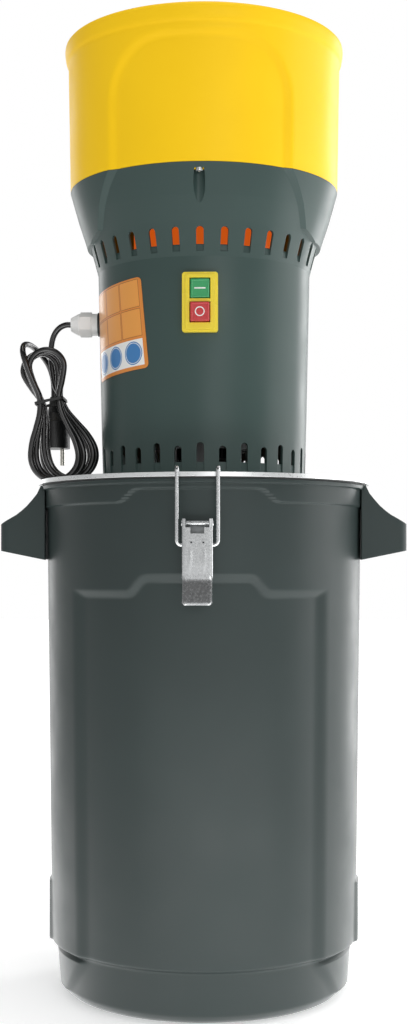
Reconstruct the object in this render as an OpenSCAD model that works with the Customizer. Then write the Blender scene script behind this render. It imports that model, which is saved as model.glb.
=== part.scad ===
// Electric grain mill: a hopper and a motor head on a lid plate, which two
// toggle latches hold on a collecting bucket.
// Origin: centre of the bucket's flat base. +Z is up, -Y is the switch side.

/* [Bucket] */
// Height of the bucket, up to the top of its rim
bucket_h = 546; // [500:1:560]
// Radius of the flat that the bucket stands on
foot_r = 140; // [130:1:146]
// Radius of the rounded corner round the foot
foot_fillet = 16; // [8:1:20]
// Height of the seam between the lower band and the body
seam_z = 57; // [45:1:70]
// Radius of the lower band at the seam
band_r = 156.5; // [150:0.5:159]
// Radius of the four raised side panels of the lower band
band_raised_r = 160; // [157:0.5:162]
// Radius of the body just above the seam
body_low_r = 166; // [163:0.5:168]
// Radius of the body just under the rim
body_top_r = 171.5; // [169:0.5:173]
// Thickness of the bucket's wall
bucket_wall = 3.2; // [2.4:0.1:4]
// Outer radius of the collar under the rim
collar_r = 173.6; // [173:0.1:175]
// Distance from the rim's top down to the collar's lower edge at the sides
collar_drop = 23; // [16:1:36]
// The same distance in the middle of the front and the rear
collar_mid_drop = 9.6; // [7:0.2:14]
// Outer radius of the rim
rim_r = 177.8; // [176:0.1:179]
// Thickness of the rim
rim_t = 4.5; // [3:0.1:6]
// Depth of the sunk panels in the front and the rear
panel_depth = 4; // [2:0.1:5]
// Half of the angle that a sunk panel spans, at its floor
panel_half_angle = 45; // [38:1:48]
// Width of the slope along a panel's side
panel_bevel = 14; // [6:1:18]
// Distance from the rim's top down to a panel's top edge, at its floor
panel_drop = 119; // [106:1:156]
// Distance from the rim's top down to the raised middle of a panel's top edge
panel_mid_drop = 103; // [94:1:116]
// Half of the angle that the raised middle spans
panel_mid_half_angle = 18; // [12:1:22]
// Height of the slope at a panel's top
panel_top_bevel = 8.6; // [4:0.2:10]
// Height of the pads at the sides, above the seam
pad_h = 65; // [40:1:90]
// Radius of the side pads
pad_r = 169; // [167.5:0.1:171]
// Half of the width of a side pad
pad_half_w = 34; // [20:1:45]

/* [Handles] */
// Distance from the axis to a handle's outer face
handle_reach = 218.5; // [216:0.1:226]
// Width of a handle, front to rear
handle_w = 90; // [80:1:110]
// Height of a handle's outer face
handle_lip_h = 28; // [22:1:36]
// Distance from the rim's top down to a handle's outer face
handle_drop = 41.5; // [40:0.5:46]
// Radius of a handle's outer corners, seen from above
handle_corner_r = 11; // [6:1:16]
// Thickness of a handle's walls
handle_wall = 4; // [3:0.1:5]

/* [Latches] */
// Distance from the rim's top down to a lever's pivot
latch_drop = 44.7; // [42:0.1:48]
// Distance from the mill's axis to a lever's pivot
latch_pivot_y = 181; // [180:0.1:182]
// Width of a lever
lever_w = 28.2; // [26:0.1:30]
// Thickness of the pressed steel
latch_steel_t = 1.2; // [1:0.1:1.5]
// Depth of the lever's side walls
lever_depth = 10; // [9:0.1:11]
// Height of the lever above its pivot
lever_head = 4.5; // [4:0.1:5]
// Length of the lever below its pivot, down to its finger tab
lever_len = 55; // [50:1:60]
// Length of the finger tab
tab_len = 26; // [18:1:32]
// Angle at which the finger tab stands out
tab_angle = 22; // [10:1:30]
// Radius of the pivot pin
pivot_pin_r = 2; // [1.6:0.1:2.2]
// Diameter of the bail's wire
wire_d = 4; // [3.5:0.1:4.2]
// Distance between the two legs of a bail
bail_span = 40.3; // [40:0.1:44]
// Distance from the lever's pivot down to the bail's pivot
bail_drop = 21.3; // [20:0.1:23]
// Distance that the bail's pivot stands out past the lever's pivot
bail_out = 2; // [1:0.1:2.5]
// Radius of a bail hook's bend
hook_r = 4; // [3.6:0.1:4.4]
// Room between a bail's hooks and the bead that they reach over
hook_gap = 0.5; // [0.4:0.1:0.8]

/* [Lid] */
// Radius of the lid plate
plate_r = 180.4; // [180:0.1:180.8]
// Thickness of the lid plate
plate_t = 2; // [1.5:0.1:3]
// Height of the bead round the lid plate, above the plate
bead_h = 2.4; // [1.5:0.1:3]
// Width of the bead
bead_w = 4; // [3:0.1:4]
// Height of the lid plate's underside above the rim
lid_gap = 1.7; // [1.4:0.1:2.5]
// Width of the rubber seal under the plate
seal_w = 5; // [3:0.5:6]

/* [Housing] */
// Thickness of the housing's wall
housing_wall = 3; // [2:0.1:4]
// Radius at the housing's foot
housing_foot_r = 110.6; // [108:0.1:112]
// Radius where the flare starts
housing_neck_r = 115.8; // [114:0.1:117]
// Height above the lid plate where the flare starts
neck_rise = 227.3; // [222.3:1:232.3]
// Radius of the housing's mouth at the sunk front and rear
mouth_r = 142.1; // [140:0.1:143]
// Height of the housing's mouth above the lid plate
mouth_rise = 316.9; // [310.3:0.1:322.3]
// Height of the raised sides of the flare, above its surface
flare_raise = 3.9; // [2:0.1:5]
// Number of air slots in each row
slot_count = 30; // [20:2:34]
// Width of an air slot
slot_w = 7.7; // [5:0.1:9]
// Height of the upper slots' lower end above the lid plate
upper_slot_rise = 239.3; // [236.3:1:242.3]
// Length of an upper slot
upper_slot_h = 17; // [10:1:20]
// Height of the lower slots' lower end above the lid plate
lower_slot_rise = 17; // [12.3:0.1:20.3]
// Length of the taller lower slots
lower_slot_h = 20; // [12:1:26]
// Difference between the taller and the shorter lower slots
lower_slot_step = 3.6; // [0:0.1:6]
// Depth of the groove that runs down from each slot
slot_groove = 1.4; // [0.5:0.1:2]
// Distance from the axis to the screw channels
channel_pitch_r = 136.5; // [135:0.1:137]
// Radius of the screw channels
channel_r = 6; // [5:0.1:6.5]
// Height of the screw channels' lower end above the lid plate
channel_rise = 266.3; // [262.3:1:274.3]
// Thickness of the lid under a screw channel's closed end
channel_cap = 4; // [3:0.1:6]

/* [Hopper] */
// Height of the hopper's top above the lid plate
hopper_rise = 474.7; // [450.3:0.1:490.3]
// Radius of the hopper's wall at its foot
hopper_low_r = 146; // [145:0.1:147]
// Radius of the hopper's wall under its lip
hopper_high_r = 148.6; // [147:0.1:150]
// Outer radius of the hopper's lip
lip_r = 153.3; // [152:0.1:156]
// Height of the hopper's lip
lip_h = 16; // [10:1:20]
// Thickness of the hopper's wall
hopper_wall = 3; // [2.4:0.1:4]
// Depth of the sunk arches in the front and the rear
arch_depth = 4; // [2:0.1:4.5]
// Half of the angle that a sunk arch spans, at its floor
arch_half_angle = 38; // [30:1:40]
// Width of the slope along an arch's side
arch_bevel = 9; // [5:1:12]
// Height of an arch's top above the lid plate
arch_rise = 447.3; // [430.3:1:452.3]
// Radius of an arch's two upper corners
arch_corner_r = 62; // [30:1:70]
// Height of the hopper's flat floor above the lid plate
floor_rise = 320.3; // [319.3:0.5:322.3]
// Height above the lid plate where the floor's slope meets the wall
floor_edge_rise = 350.3; // [335.3:1:370.3]
// Depth that the hopper's spigot reaches into the housing
spigot_h = 7; // [4:1:10]

/* [Feed] */
// Outer radius of the funnel under the hopper
funnel_r = 77; // [70:1:80]
// Height of the funnel's lower edge above the lid plate
funnel_rise = 232.3; // [228.3:1:238.3]
// Thickness of the funnel's wall
funnel_wall = 2.5; // [2:0.1:4]
// Slope of the funnel's floor
funnel_slope = 24; // [18:1:26]
// Radius of the feed port in the hopper's floor
port_r = 24; // [18:0.5:25]
// Distance from the axis to the feed port
port_y = 38; // [36:1:40]
// Inner radius of the feed chute
chute_r = 15; // [12:0.5:15.5]
// Thickness of the chute's wall
chute_wall = 2; // [1.5:0.1:2.5]
// Distance from the axis to the chute at the lid plate
chute_low_y = 81; // [80:0.5:84]
// Distance from the axis to the chute at the funnel
chute_high_y = 58; // [57:0.5:59]
// Width of the gate plate
gate_w = 58; // [54:1:60]
// Length of the gate plate
gate_l = 56; // [52:1:58]
// Thickness of the gate plate
gate_t = 2.5; // [1.5:0.1:4]
// Travel of the gate, from shut to open
gate_travel = 52; // [40:1:54]
// Height of the gate's finger tab
gate_tab_h = 24; // [15:1:30]

/* [Switch] */
// Width of the switch's frame
frame_w = 36.8; // [34:0.1:40]
// Height of the switch's frame
frame_h = 61.4; // [58:0.1:64]
// Height of the middle of the frame above the lid plate
frame_rise = 179.5; // [172.3:0.1:185.3]
// Distance that the frame stands proud of the housing
frame_proud = 4.5; // [3:0.1:6]
// Width and height of a button
button_w = 20.7; // [18:0.1:22]
// Distance between the middles of the two buttons
button_pitch = 24.4; // [23:0.1:25]
// Height of the buttons' middle above the frame's middle
button_rise = 1.8; // [0:0.1:2]
// Distance that the start button stands proud of the frame
start_proud = 0.4; // [0.2:0.1:2]
// Distance that the stop button stands proud of the frame
stop_proud = 4; // [2:0.1:5]
// Travel of the buttons
button_travel = 3; // [2:0.1:3.5]
// Depth of the switch's body inside the housing
switch_depth = 26; // [20:1:30]

/* [Label] */
// Width of the label, along its chord
label_w = 92; // [70:1:94]
// Height of the label
label_h = 95; // [80:1:96]
// Thickness of the label
label_t = 0.4; // [0.2:0.1:0.8]
// Angle of the label's middle, from the front towards the left
label_angle = 54; // [50:1:56]
// Height of the label's middle above the lid plate
label_rise = 159.3; // [150.3:1:162.3]
// Tilt of the label
label_tilt = 4.5; // [0:0.5:6]

/* [Motor] */
// Radius of the motor's stator
stator_r = 50; // [46:0.5:50]
// Height of the stator's lower face above the lid plate
stator_rise = 50.3; // [48.3:1:54.3]
// Length of the stator
stator_h = 70; // [60:1:72]
// Radius of the armature
armature_r = 28.5; // [24:0.5:30]
// Air gap between armature and stator
air_gap = 1; // [0.6:0.1:1.5]
// Radius of the shaft
shaft_r = 6; // [5:0.5:6.5]
// Radius of the commutator
commutator_r = 16; // [14:0.5:17]
// Length of the commutator
commutator_h = 24; // [20:1:26]
// Height of the lower bracket's underside above the lid plate
bracket_rise = 6.3; // [5.3:1:8.3]
// Height of the motor's top above the lid plate
motor_rise = 190.3; // [186.3:1:192.3]
// Radius of the upper bracket
bracket_r = 42; // [40:0.5:42.5]
// Outer radius of a bearing
bearing_r = 16; // [14:0.5:16]
// Width of a bearing
bearing_w = 10; // [8:0.5:11]
// Radius of the cooling fan
fan_r = 43; // [36:0.5:44]
// Height of the cooling fan
fan_h = 14; // [10:0.5:15]
// Number of blades on the cooling fan
fan_blades = 12; // [6:1:16]

/* [Grinding chamber] */
// Outer radius of the sieve
sieve_r = 118; // [114:0.5:119]
// Thickness of the sieve
sieve_t = 1.5; // [1:0.1:2]
// Height of the sieve
sieve_h = 60; // [50:1:64]
// Radius of the chamber's floor
chamber_r = 131; // [130:0.5:134]
// Thickness of the chamber's floor
chamber_floor_t = 3; // [2:0.1:4]
// Radius of the hole in the chamber's floor
chamber_hole_r = 30; // [20:1:40]
// Radius of the cutter, at its tips
cutter_r = 105; // [95:1:108]
// Width of the cutter
cutter_w = 26; // [20:1:32]
// Thickness of the cutter
cutter_t = 3; // [2:0.1:5]
// Depth of the cutter under the lid plate
cutter_drop = 33; // [28:1:36]
// Distance from the axis to the chamber's studs
stud_pitch_r = 124.5; // [124:0.1:125.5]
// Radius of the studs
stud_r = 3; // [2.5:0.1:3]
// Distance across the flats of the studs' nuts
nut_af = 10; // [9:0.5:10.5]
// Height of the head's travel as it lifts off
lift_travel = 150; // [80:1:200]

/* [Cord] */
// Diameter of the power cord
cord_d = 6.5; // [6:0.1:6.8]
// Height of the cable gland above the lid plate
gland_rise = 176.3; // [172.3:1:180.3]
// Radius of the gland's thread
gland_thread_r = 10; // [9:0.1:10.5]
// Distance across the flats of the gland's nuts
gland_af = 24; // [22:0.5:25]
// Whole turns in the hank
hank_turns = 4; // [2:1:4]
// Distance between two turns of the hank
hank_step = 7.1; // [7.1:0.1:8]
// Bend radius at the hank's top
hank_top_r = 19; // [18:0.5:20]
// Bend radius at the hank's foot
hank_low_r = 26; // [24:0.5:26.5]
// Distance between the hank's two bends
hank_run = 98; // [94:1:100]
// Half of the distance between the two runs where the tie draws them in
waist_r = 10; // [8:0.5:12]
// Radius of the plug
plug_r = 18; // [16:0.5:19]
// Length of the plug's body
plug_h = 40; // [34:1:44]

/* [Clearances] */
// Running clearance of pins and shafts in their holes
pin_gap = 0.05; // [0.03:0.01:0.09]
// Clearance between pieces that move past each other
slide_gap = 0.3; // [0.2:0.05:0.5]
// Clearance of a seated piece
seat_gap = 0.2; // [0.1:0.05:0.3]

/* [Hidden] */
$fn = 96;

far = 400;
plate_z = bucket_h + lid_gap;
plate_top = plate_z + plate_t;
rim_z = bucket_h - rim_t;
collar_z = bucket_h - collar_drop;
collar_mid_z = bucket_h - collar_mid_drop;
panel_top_z = bucket_h - panel_drop;
panel_mid_top_z = bucket_h - panel_mid_drop;
handle_lip_z = bucket_h - handle_drop;
latch_pivot_z = bucket_h - latch_drop;
neck_z = plate_top + neck_rise;
mouth_z = plate_top + mouth_rise;
upper_slot_z = plate_top + upper_slot_rise;
lower_slot_z = plate_top + lower_slot_rise;
channel_z = plate_top + channel_rise;
hopper_top_z = plate_top + hopper_rise;
arch_top_z = plate_top + arch_rise;
floor_z = plate_top + floor_rise;
floor_edge_z = plate_top + floor_edge_rise;
funnel_z = plate_top + funnel_rise;
frame_z = plate_top + frame_rise;
label_z = plate_top + label_rise;
stator_z = plate_top + stator_rise;
bracket_z = plate_top + bracket_rise;
motor_top_z = plate_top + motor_rise;
gland_z = plate_top + gland_rise;

// ---------- shared shapes ----------

// A solid turned from a half profile in the X-Z plane.
module turned(points) {
    rotate_extrude($fn = 240) polygon(points);
}

// A ring with square edges.
module ring(outer, inner, h) {
    difference() {
        cylinder(r = outer, h = h);
        translate([0, 0, -1]) cylinder(r = inner, h = h + 2);
    }
}

// The children in front and, turned round, in the rear.
module front_and_rear() {
    children();
    rotate([0, 0, 180]) children();
}

// Plan of a sunk panel: radial sides to its floor, then sloping out.
function panel_plan(floor_r, depth, half_angle, bevel) =
    let (
        out_angle = half_angle + bevel / floor_r * 180 / PI,
        low = floor_r * [sin(half_angle), -cos(half_angle)],
        high = (floor_r + depth) * [sin(out_angle), -cos(out_angle)],
        tip = high + 3 * (high - low)
    )
    [
        [0, 0], low, tip, [tip.x, -far],
        [-tip.x, -far], [-tip.x, tip.y], [-low.x, low.y]
    ];

// ---------- bucket ----------

seam_step = 4;

function body_r(z) = body_low_r + (body_top_r - body_low_r) * (z - seam_z) / (rim_z - seam_z);

// The body above the seam and the band below it, shrunk by an inset.
module bucket_turned(inset, sink, top) {
    rotate_extrude() {
        polygon([
            [0, inset],
            [foot_r, inset],
            [band_r - 1 - inset, foot_fillet],
            [band_r - inset, seam_z - seam_step + inset],
            [body_r(seam_z) - sink - inset, seam_z + inset],
            [body_r(rim_z) - sink - inset, rim_z],
            [body_r(rim_z) - sink - inset, top],
            [0, top]
        ]);
        translate([band_r - 1 - foot_fillet, foot_fillet]) circle(r = foot_fillet - inset);
    }
}

// What a sunk panel takes out of the body, in front.
module panel_cut(inset, half_angle, top_z) {
    floor_r = body_r(top_z) - panel_depth - inset;
    grow = inset * 180 / PI / floor_r;
    difference() {
        translate([0, 0, seam_z - seam_step - 1])
            linear_extrude(top_z + panel_top_bevel + 25 - seam_z)
                polygon(panel_plan(floor_r, panel_depth, half_angle + grow, panel_bevel));
        bucket_turned(inset, panel_depth, bucket_h);
        turned([
            [0, top_z + inset],
            [floor_r, top_z + inset],
            [floor_r + 4 * panel_depth, top_z + inset + 4 * panel_top_bevel],
            [floor_r + 4 * panel_depth, far * 2],
            [0, far * 2]
        ]);
    }
}

module bucket_form(inset, top) {
    difference() {
        bucket_turned(inset, 0, top);
        front_and_rear() {
            panel_cut(inset, panel_half_angle, panel_top_z);
            panel_cut(inset, panel_mid_half_angle, panel_mid_top_z);
        }
    }
}

// The collar, its lower edge raised in front and rear.
module collar() {
    mid_x = 60.8;
    side_x = 81.5;
    difference() {
        translate([0, 0, collar_z]) cylinder(r = collar_r, h = bucket_h - collar_z);
        front_and_rear()
            translate([0, -body_top_r * 0.7, 0])
                rotate([90, 0, 0])
                    linear_extrude(far)
                        polygon([
                            [-side_x, collar_z - 1], [side_x, collar_z - 1],
                            [mid_x, collar_mid_z], [-mid_x, collar_mid_z]
                        ]);
    }
}

// The four raised panels of the lower band, at the two sides.
module band_sides() {
    low_z = 10;
    top_z = seam_z - 6;
    for (side = [0, 180])
        rotate([0, 0, side])
            intersection() {
                turned([
                    [0, low_z], [band_raised_r - 3.4, low_z],
                    [band_raised_r, top_z - 3], [band_raised_r - 1.5, top_z], [0, top_z]
                ]);
                linear_extrude(seam_z) polygon([[0, 0], [far, -far * 0.92], [far, far * 0.92]]);
            }
}

module side_pads() {
    pad_slope = 6;
    for (side = [-1, 1])
        intersection() {
            turned([
                [0, seam_z], [pad_r, seam_z], [pad_r, seam_z + pad_h - pad_slope],
                [body_low_r, seam_z + pad_h], [0, seam_z + pad_h]
            ]);
            translate([side * 160, 0, 0])
                translate([-20, -pad_half_w, seam_z - 1]) cube([40, 2 * pad_half_w, pad_h + 2]);
        }
}

// The outside of the bucket, which handles and latches seat on.
module bucket_outside() {
    bucket_form(0, bucket_h);
    collar();
    translate([0, 0, rim_z]) cylinder(r = rim_r, h = rim_t);
    band_sides();
    side_pads();
}

module bucket() {
    color("#3f4a48")
        difference() {
            bucket_outside();
            bucket_form(bucket_wall, bucket_h + 1);
        }
}

// The hollow curve of a handle's top: distances past the collar and below the
// rim's top.
handle_curve = [
    [0.4, 0], [4.4, 8.5], [9.5, 14.9], [15.3, 21.5], [21.1, 26.7],
    [26.8, 31.1], [32.7, 34.5], [38.5, 37.8]
];

function curve_at(i, past, down) =
    [collar_r + handle_curve[i].x - past, bucket_h - handle_curve[i].y - down];

module handle_plan(grow) {
    half = handle_w / 2 + grow;
    r = handle_corner_r + grow;
    reach = handle_reach + grow;
    translate([0, -half]) square([reach - r, 2 * half]);
    translate([0, r - half]) square([reach, 2 * (half - r)]);
    for (y = [r - half, half - r])
        translate([reach - r, y]) circle(r = r);
}

module handle_side(outline, grow) {
    intersection() {
        translate([0, far / 2, 0]) rotate([90, 0, 0]) linear_extrude(far) polygon(outline);
        linear_extrude(far * 2) handle_plan(grow);
    }
}

module handle(side) {
    root_r = collar_r - 4;
    last = len(handle_curve) - 1;
    outline = concat(
        [[root_r, bucket_h]],
        [for (i = [0 : last]) curve_at(i, 0, 0)],
        [
            [handle_reach, handle_lip_z],
            [handle_reach, handle_lip_z - handle_lip_h],
            [root_r, handle_lip_z - handle_lip_h - 10]
        ]
    );
    low = handle_lip_z - handle_lip_h - 20;
    pocket = concat(
        [[collar_r + 0.4, low], [collar_r + 0.4, curve_at(2, 0, handle_wall).y]],
        [for (i = [2 : last]) curve_at(i, handle_wall * 0.65, handle_wall * 0.9)],
        [
            [handle_reach, handle_lip_z - handle_wall],
            [handle_reach, low]
        ]
    );
    color("#3a403f")
        mirror([side < 0 ? 1 : 0, 0, 0])
            difference() {
                handle_side(outline, 0);
                handle_side(pocket, -handle_wall);
                cylinder(r = collar_r + 0.01, h = bucket_h);
                translate([0, 0, rim_z - 0.01]) cylinder(r = rim_r + 0.01, h = far);
            }
}

module left_handle() {
    handle(-1);
}

module right_handle() {
    handle(1);
}

// ---------- latches, drawn in front ----------

ear_gap = 0.25;
ear_t = 1.5;
ear_r = 3.7;
ear_drop = 0.6;
lever_in = lever_w / 2 - latch_steel_t;
ear_out = lever_in - ear_gap;
bail_y = latch_pivot_y + bail_out;
bail_z = latch_pivot_z - bail_drop;
lever_front = latch_pivot_y + 5.5;
seat_y = body_top_r - 1;
pin_hole_r = pivot_pin_r + pin_gap;
wire_r = wire_d / 2;

// A round bar along X, centred on the mill's middle plane.
module cross_bar(r, length, y, z) {
    translate([-length / 2, -y, z]) rotate([0, 90, 0]) cylinder(r = r, h = length);
}

module latch_base() {
    plate_low = bail_z - wire_r - 6;
    plate_high = latch_pivot_z + 3;
    plate_y = seat_y + 2.6;
    color("#b9bcbd")
        difference() {
            union() {
                translate([-ear_out, -plate_y, plate_low])
                    cube([2 * ear_out, 6, plate_high - plate_low]);
                for (side = [-1, 1])
                    translate([side * (ear_out - ear_t / 2) - ear_t / 2, 0, latch_pivot_z])
                        rotate([90, 0, 90])
                            linear_extrude(ear_t) {
                                polygon([
                                    [-plate_y + 1, -10],
                                    [-plate_y + 1, -ear_drop],
                                    [-latch_pivot_y, -ear_drop],
                                    [-latch_pivot_y - ear_r * 0.8, -ear_r * 0.6]
                                ]);
                                translate([-latch_pivot_y, 0]) circle(r = ear_r);
                            }
                for (rivet = [[plate_low + 4, 3.2], [latch_pivot_z - 11.5, 4.7]])
                    translate([0, -plate_y, rivet.x])
                        rotate([90, 0, 0]) cylinder(r = rivet.y, h = 1.2);
            }
            cross_bar(pivot_pin_r, far, latch_pivot_y, latch_pivot_z);
            cylinder(r = collar_r - 2.3, h = far * 2, $fn = 240);
        }
}

module latch_pin() {
    head_t = 1.4;
    head_gap = 0.3;
    half = lever_w / 2 + head_gap;
    color("#d8dadb") {
        cross_bar(pivot_pin_r, 2 * half, latch_pivot_y, latch_pivot_z);
        for (side = [-1, 1])
            translate([side * (half + head_t / 2), 0, 0])
                cross_bar(pivot_pin_r + 1.2, head_t, latch_pivot_y, latch_pivot_z);
    }
}

// A web and two side walls.
module lever_channel(top, length) {
    translate([-lever_w / 2, -lever_front, top - length])
        difference() {
            cube([lever_w, lever_depth, length]);
            translate([latch_steel_t, latch_steel_t, -1])
                cube([lever_w - 2 * latch_steel_t, lever_depth, length + 2]);
        }
}

module latch_lever() {
    top = latch_pivot_z + lever_head;
    window_w = 12.4;
    window_h = 8;
    color("#d4d6d7")
        difference() {
            union() {
                lever_channel(top, lever_head + lever_len);
                translate([0, -lever_front + latch_steel_t, latch_pivot_z - lever_len])
                    rotate([-tab_angle, 0, 0])
                        translate([-lever_w / 2, -latch_steel_t, -tab_len])
                            difference() {
                                cube([lever_w, latch_steel_t, tab_len + 0.4]);
                                for (side = [0, 1])
                                    translate([side * lever_w, 1, 0])
                                        rotate([90, 0, 0])
                                            difference() {
                                                translate([-4, -4, -1]) cube([8, 8, 4]);
                                                translate([side ? -4 : 4, 4, -2])
                                                    cylinder(r = 4, h = 6);
                                            }
                            }
                for (x = [-4.5, 4.5])
                    translate([x, -lever_front + 0.2, latch_pivot_z - lever_len + 4])
                        cylinder(r = 1.2, h = 28);
            }
            translate([-window_w / 2, -lever_front - 1, latch_pivot_z - 10])
                cube([window_w, 3, window_h]);
            cross_bar(pin_hole_r, far, latch_pivot_y, latch_pivot_z);
            cross_bar(wire_r + pin_gap, far, bail_y, bail_z);
        }
}

// A bar through the lever, two legs and two hooks over the bead.
module bail() {
    leg_x = bail_span / 2;
    bend = 5;
    hook_z = plate_top + bead_h + hook_gap;
    color("#e2e4e5") {
        cross_bar(wire_r, bail_span - 2 * bend, bail_y, bail_z);
        for (side = [-1, 1])
            mirror([side < 0 ? 1 : 0, 0, 0]) {
                translate([leg_x - bend, -bail_y, bail_z + bend])
                    rotate([90, 90, 0])
                        rotate_extrude(angle = 90) translate([bend, 0]) circle(r = wire_r);
                translate([leg_x, -bail_y, bail_z + bend])
                    cylinder(r = wire_r, h = hook_z - bail_z - bend);
                translate([leg_x, -bail_y + hook_r, hook_z])
                    rotate([90, 0, -90])
                        rotate_extrude(angle = 180) translate([hook_r, 0]) circle(r = wire_r);
            }
    }
}

module front_latch_base() {
    latch_base();
}

module front_latch_lever() {
    latch_lever();
}

module front_latch_pin() {
    latch_pin();
}

module front_bail() {
    bail();
}

module rear_latch_base() {
    rotate([0, 0, 180]) latch_base();
}

module rear_latch_lever() {
    rotate([0, 0, 180]) latch_lever();
}

module rear_latch_pin() {
    rotate([0, 0, 180]) latch_pin();
}

module rear_bail() {
    rotate([0, 0, 180]) bail();
}

// ---------- lid ----------

shaft_hole_r = shaft_r + 3;
lid_screw_r = 2;
lid_screw_pitch_r = housing_foot_r - 9.6;
lid_screw_grip = 16;

// The chute leans: its axis runs between two points on the middle plane.
chute_lean = atan((chute_low_y - chute_high_y) / (funnel_z + 8 - plate_top));

module lid_plate() {
    color("#eceeee")
        difference() {
            turned([
                [0, plate_z], [plate_r, plate_z], [plate_r, plate_top + bead_h],
                [plate_r - bead_w, plate_top + bead_h], [plate_r - bead_w - 1, plate_top],
                [0, plate_top]
            ]);
            translate([0, 0, plate_z - 1]) cylinder(r = shaft_hole_r, h = plate_t + 2);
            translate([0, chute_low_y, plate_z - 1]) cylinder(r = chute_r, h = plate_t + 2);
            at_lid_screws(plate_z - 1) cylinder(r = lid_screw_r + pin_gap, h = plate_t + 2);
        }
}

module at_lid_screws(z) {
    for (a = [45 : 90 : 315])
        rotate([0, 0, a]) translate([0, -lid_screw_pitch_r, z]) children();
}

// They hold the housing from below.
module lid_screws() {
    head_h = 2.4;
    color("#d9dbdc")
        at_lid_screws(plate_z - head_h)
            difference() {
                union() {
                    cylinder(r = 3.8, h = head_h);
                    cylinder(r = lid_screw_r, h = head_h + plate_t + lid_screw_grip);
                }
                translate([0, 0, -1]) cylinder(r = 1.6, h = 2.4, $fn = 6);
            }
}

module lid_seal() {
    seal_gap = 0.3;
    seal_r = rim_r - 1;
    color("#202222")
        translate([0, 0, bucket_h + seal_gap])
            ring(seal_r, seal_r - seal_w, plate_z - bucket_h - seal_gap);
}

// ---------- housing ----------

function housing_profile(grow) = [
    [housing_foot_r + grow, plate_top],
    [housing_foot_r + 1.9 + grow, plate_top + 70],
    [housing_foot_r + 4.6 + grow, neck_z - 27],
    [housing_neck_r + grow, neck_z],
    [housing_neck_r + 3.6 + grow, neck_z + 14],
    [housing_neck_r + 9 + grow, neck_z + 33],
    [housing_neck_r + 17.5 + grow, neck_z + 59],
    [mouth_r + grow, mouth_z]
];

module housing_turned(grow, low, top) {
    intersection() {
        turned(concat([[0, plate_top]], housing_profile(grow), [[0, mouth_z]]));
        translate([0, 0, low]) cylinder(r = far, h = top - low);
    }
}

// The flare's raised sides, in a body that narrows downwards.
module flare_sides() {
    slant = 0.319;
    half = 190;
    low_z = neck_z + 29;
    bend_z = neck_z + 37;
    function plan(y, z) = [
        [0, y, z], [half, y - slant * half, z], [half, -y + slant * half, z],
        [0, -y, z], [-half, -y + slant * half, z], [-half, y - slant * half, z]
    ];
    intersection() {
        housing_turned(flare_raise, low_z, mouth_z);
        polyhedron(
            points = concat(
                plan(mouth_r - 62, low_z),
                plan(mouth_r - 37.4, bend_z),
                plan(mouth_r - 0.7, mouth_z)
            ),
            faces = concat(
                [[5, 4, 3, 2, 1, 0], [12, 13, 14, 15, 16, 17]],
                [for (ring = [0, 6]) for (i = [0 : 5])
                    [ring + i, ring + (i + 1) % 6, ring + (i + 1) % 6 + 6, ring + i + 6]]
            ),
            convexity = 2
        );
    }
}

// The space inside the housing's wall, open above and below.
module housing_inside() {
    inner = housing_profile(-housing_wall);
    turned(concat(
        [[0, plate_top - 1], [inner[0].x, plate_top - 1]],
        inner,
        [[inner[7].x, mouth_z + 1], [0, mouth_z + 1]]
    ));
}

module housing_outside() {
    housing_turned(0, plate_top, mouth_z);
    flare_sides();
}

// An air slot with a round top, cut from the outside inwards.
module slot_cut(low, height) {
    round_z = height - slot_w / 2;
    translate([0, -housing_foot_r + 16, low])
        rotate([90, 0, 0])
            linear_extrude(60) {
                translate([-slot_w / 2, 0]) square([slot_w, round_z]);
                translate([0, round_z]) circle(r = slot_w / 2);
            }
}

// The shallow groove that runs down from a slot.
module groove_cut(low, height, reach) {
    translate([-slot_w / 2, -reach - 30, low]) cube([slot_w, 30, height]);
}

module upper_slots() {
    groove_h = 7;
    for (i = [0 : slot_count - 1])
        rotate([0, 0, i * 360 / slot_count]) {
            slot_cut(upper_slot_z, upper_slot_h);
            groove_cut(upper_slot_z - groove_h, groove_h + 1, housing_neck_r + 1.6 - slot_groove);
        }
}

module lower_slots() {
    groove_h = 9.5;
    for (i = [0 : slot_count - 1])
        rotate([0, 0, i * 360 / slot_count]) {
            slot_cut(lower_slot_z, lower_slot_h - (i % 2) * lower_slot_step);
            groove_cut(lower_slot_z - groove_h, groove_h + 1, housing_foot_r + 0.4 - slot_groove);
        }
}

module screw_channels(r, low, top) {
    for (a = [0 : 90 : 270])
        rotate([0, 0, a])
            translate([0, -channel_pitch_r, low]) cylinder(r = r, h = top - low);
}

channel_top = mouth_z - channel_cap;
sleeve_r = channel_r + 2.5;
housing_screw_r = 2.2;

module switch_window(grow) {
    translate([-frame_w / 2 + 5 - grow, -far / 2, frame_z - frame_h / 2 + 5 - grow])
        cube([frame_w - 10 + 2 * grow, far / 2 - housing_foot_r + 20.6, frame_h - 10 + 2 * grow]);
}

module motor_housing() {
    boss_r = 5.5;
    boss_h = lid_screw_grip + 8;
    color("#3e4a48")
        difference() {
            union() {
                difference() {
                    housing_outside();
                    housing_inside();
                }
                intersection() {
                    screw_channels(sleeve_r, channel_z, mouth_z - seat_gap);
                    housing_outside();
                }
                at_lid_screws(plate_top) {
                    cylinder(r = boss_r, h = boss_h);
                    translate([-1.5, -8, 0]) cube([3, 8, boss_h]);
                }
            }
            upper_slots();
            lower_slots();
            screw_channels(channel_r, channel_z - 20, channel_top - 1.5);
            screw_channels(housing_screw_r + 0.3, channel_top - 3, mouth_z + 1);
            switch_window(0);
            translate([-far, 0, gland_z])
                rotate([0, 90, 0]) cylinder(r = gland_thread_r + seat_gap, h = far);
            at_lid_screws(plate_top - 1) cylinder(r = lid_screw_r + 0.02, h = lid_screw_grip + 4);
        }
}

// ---------- hopper ----------

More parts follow.
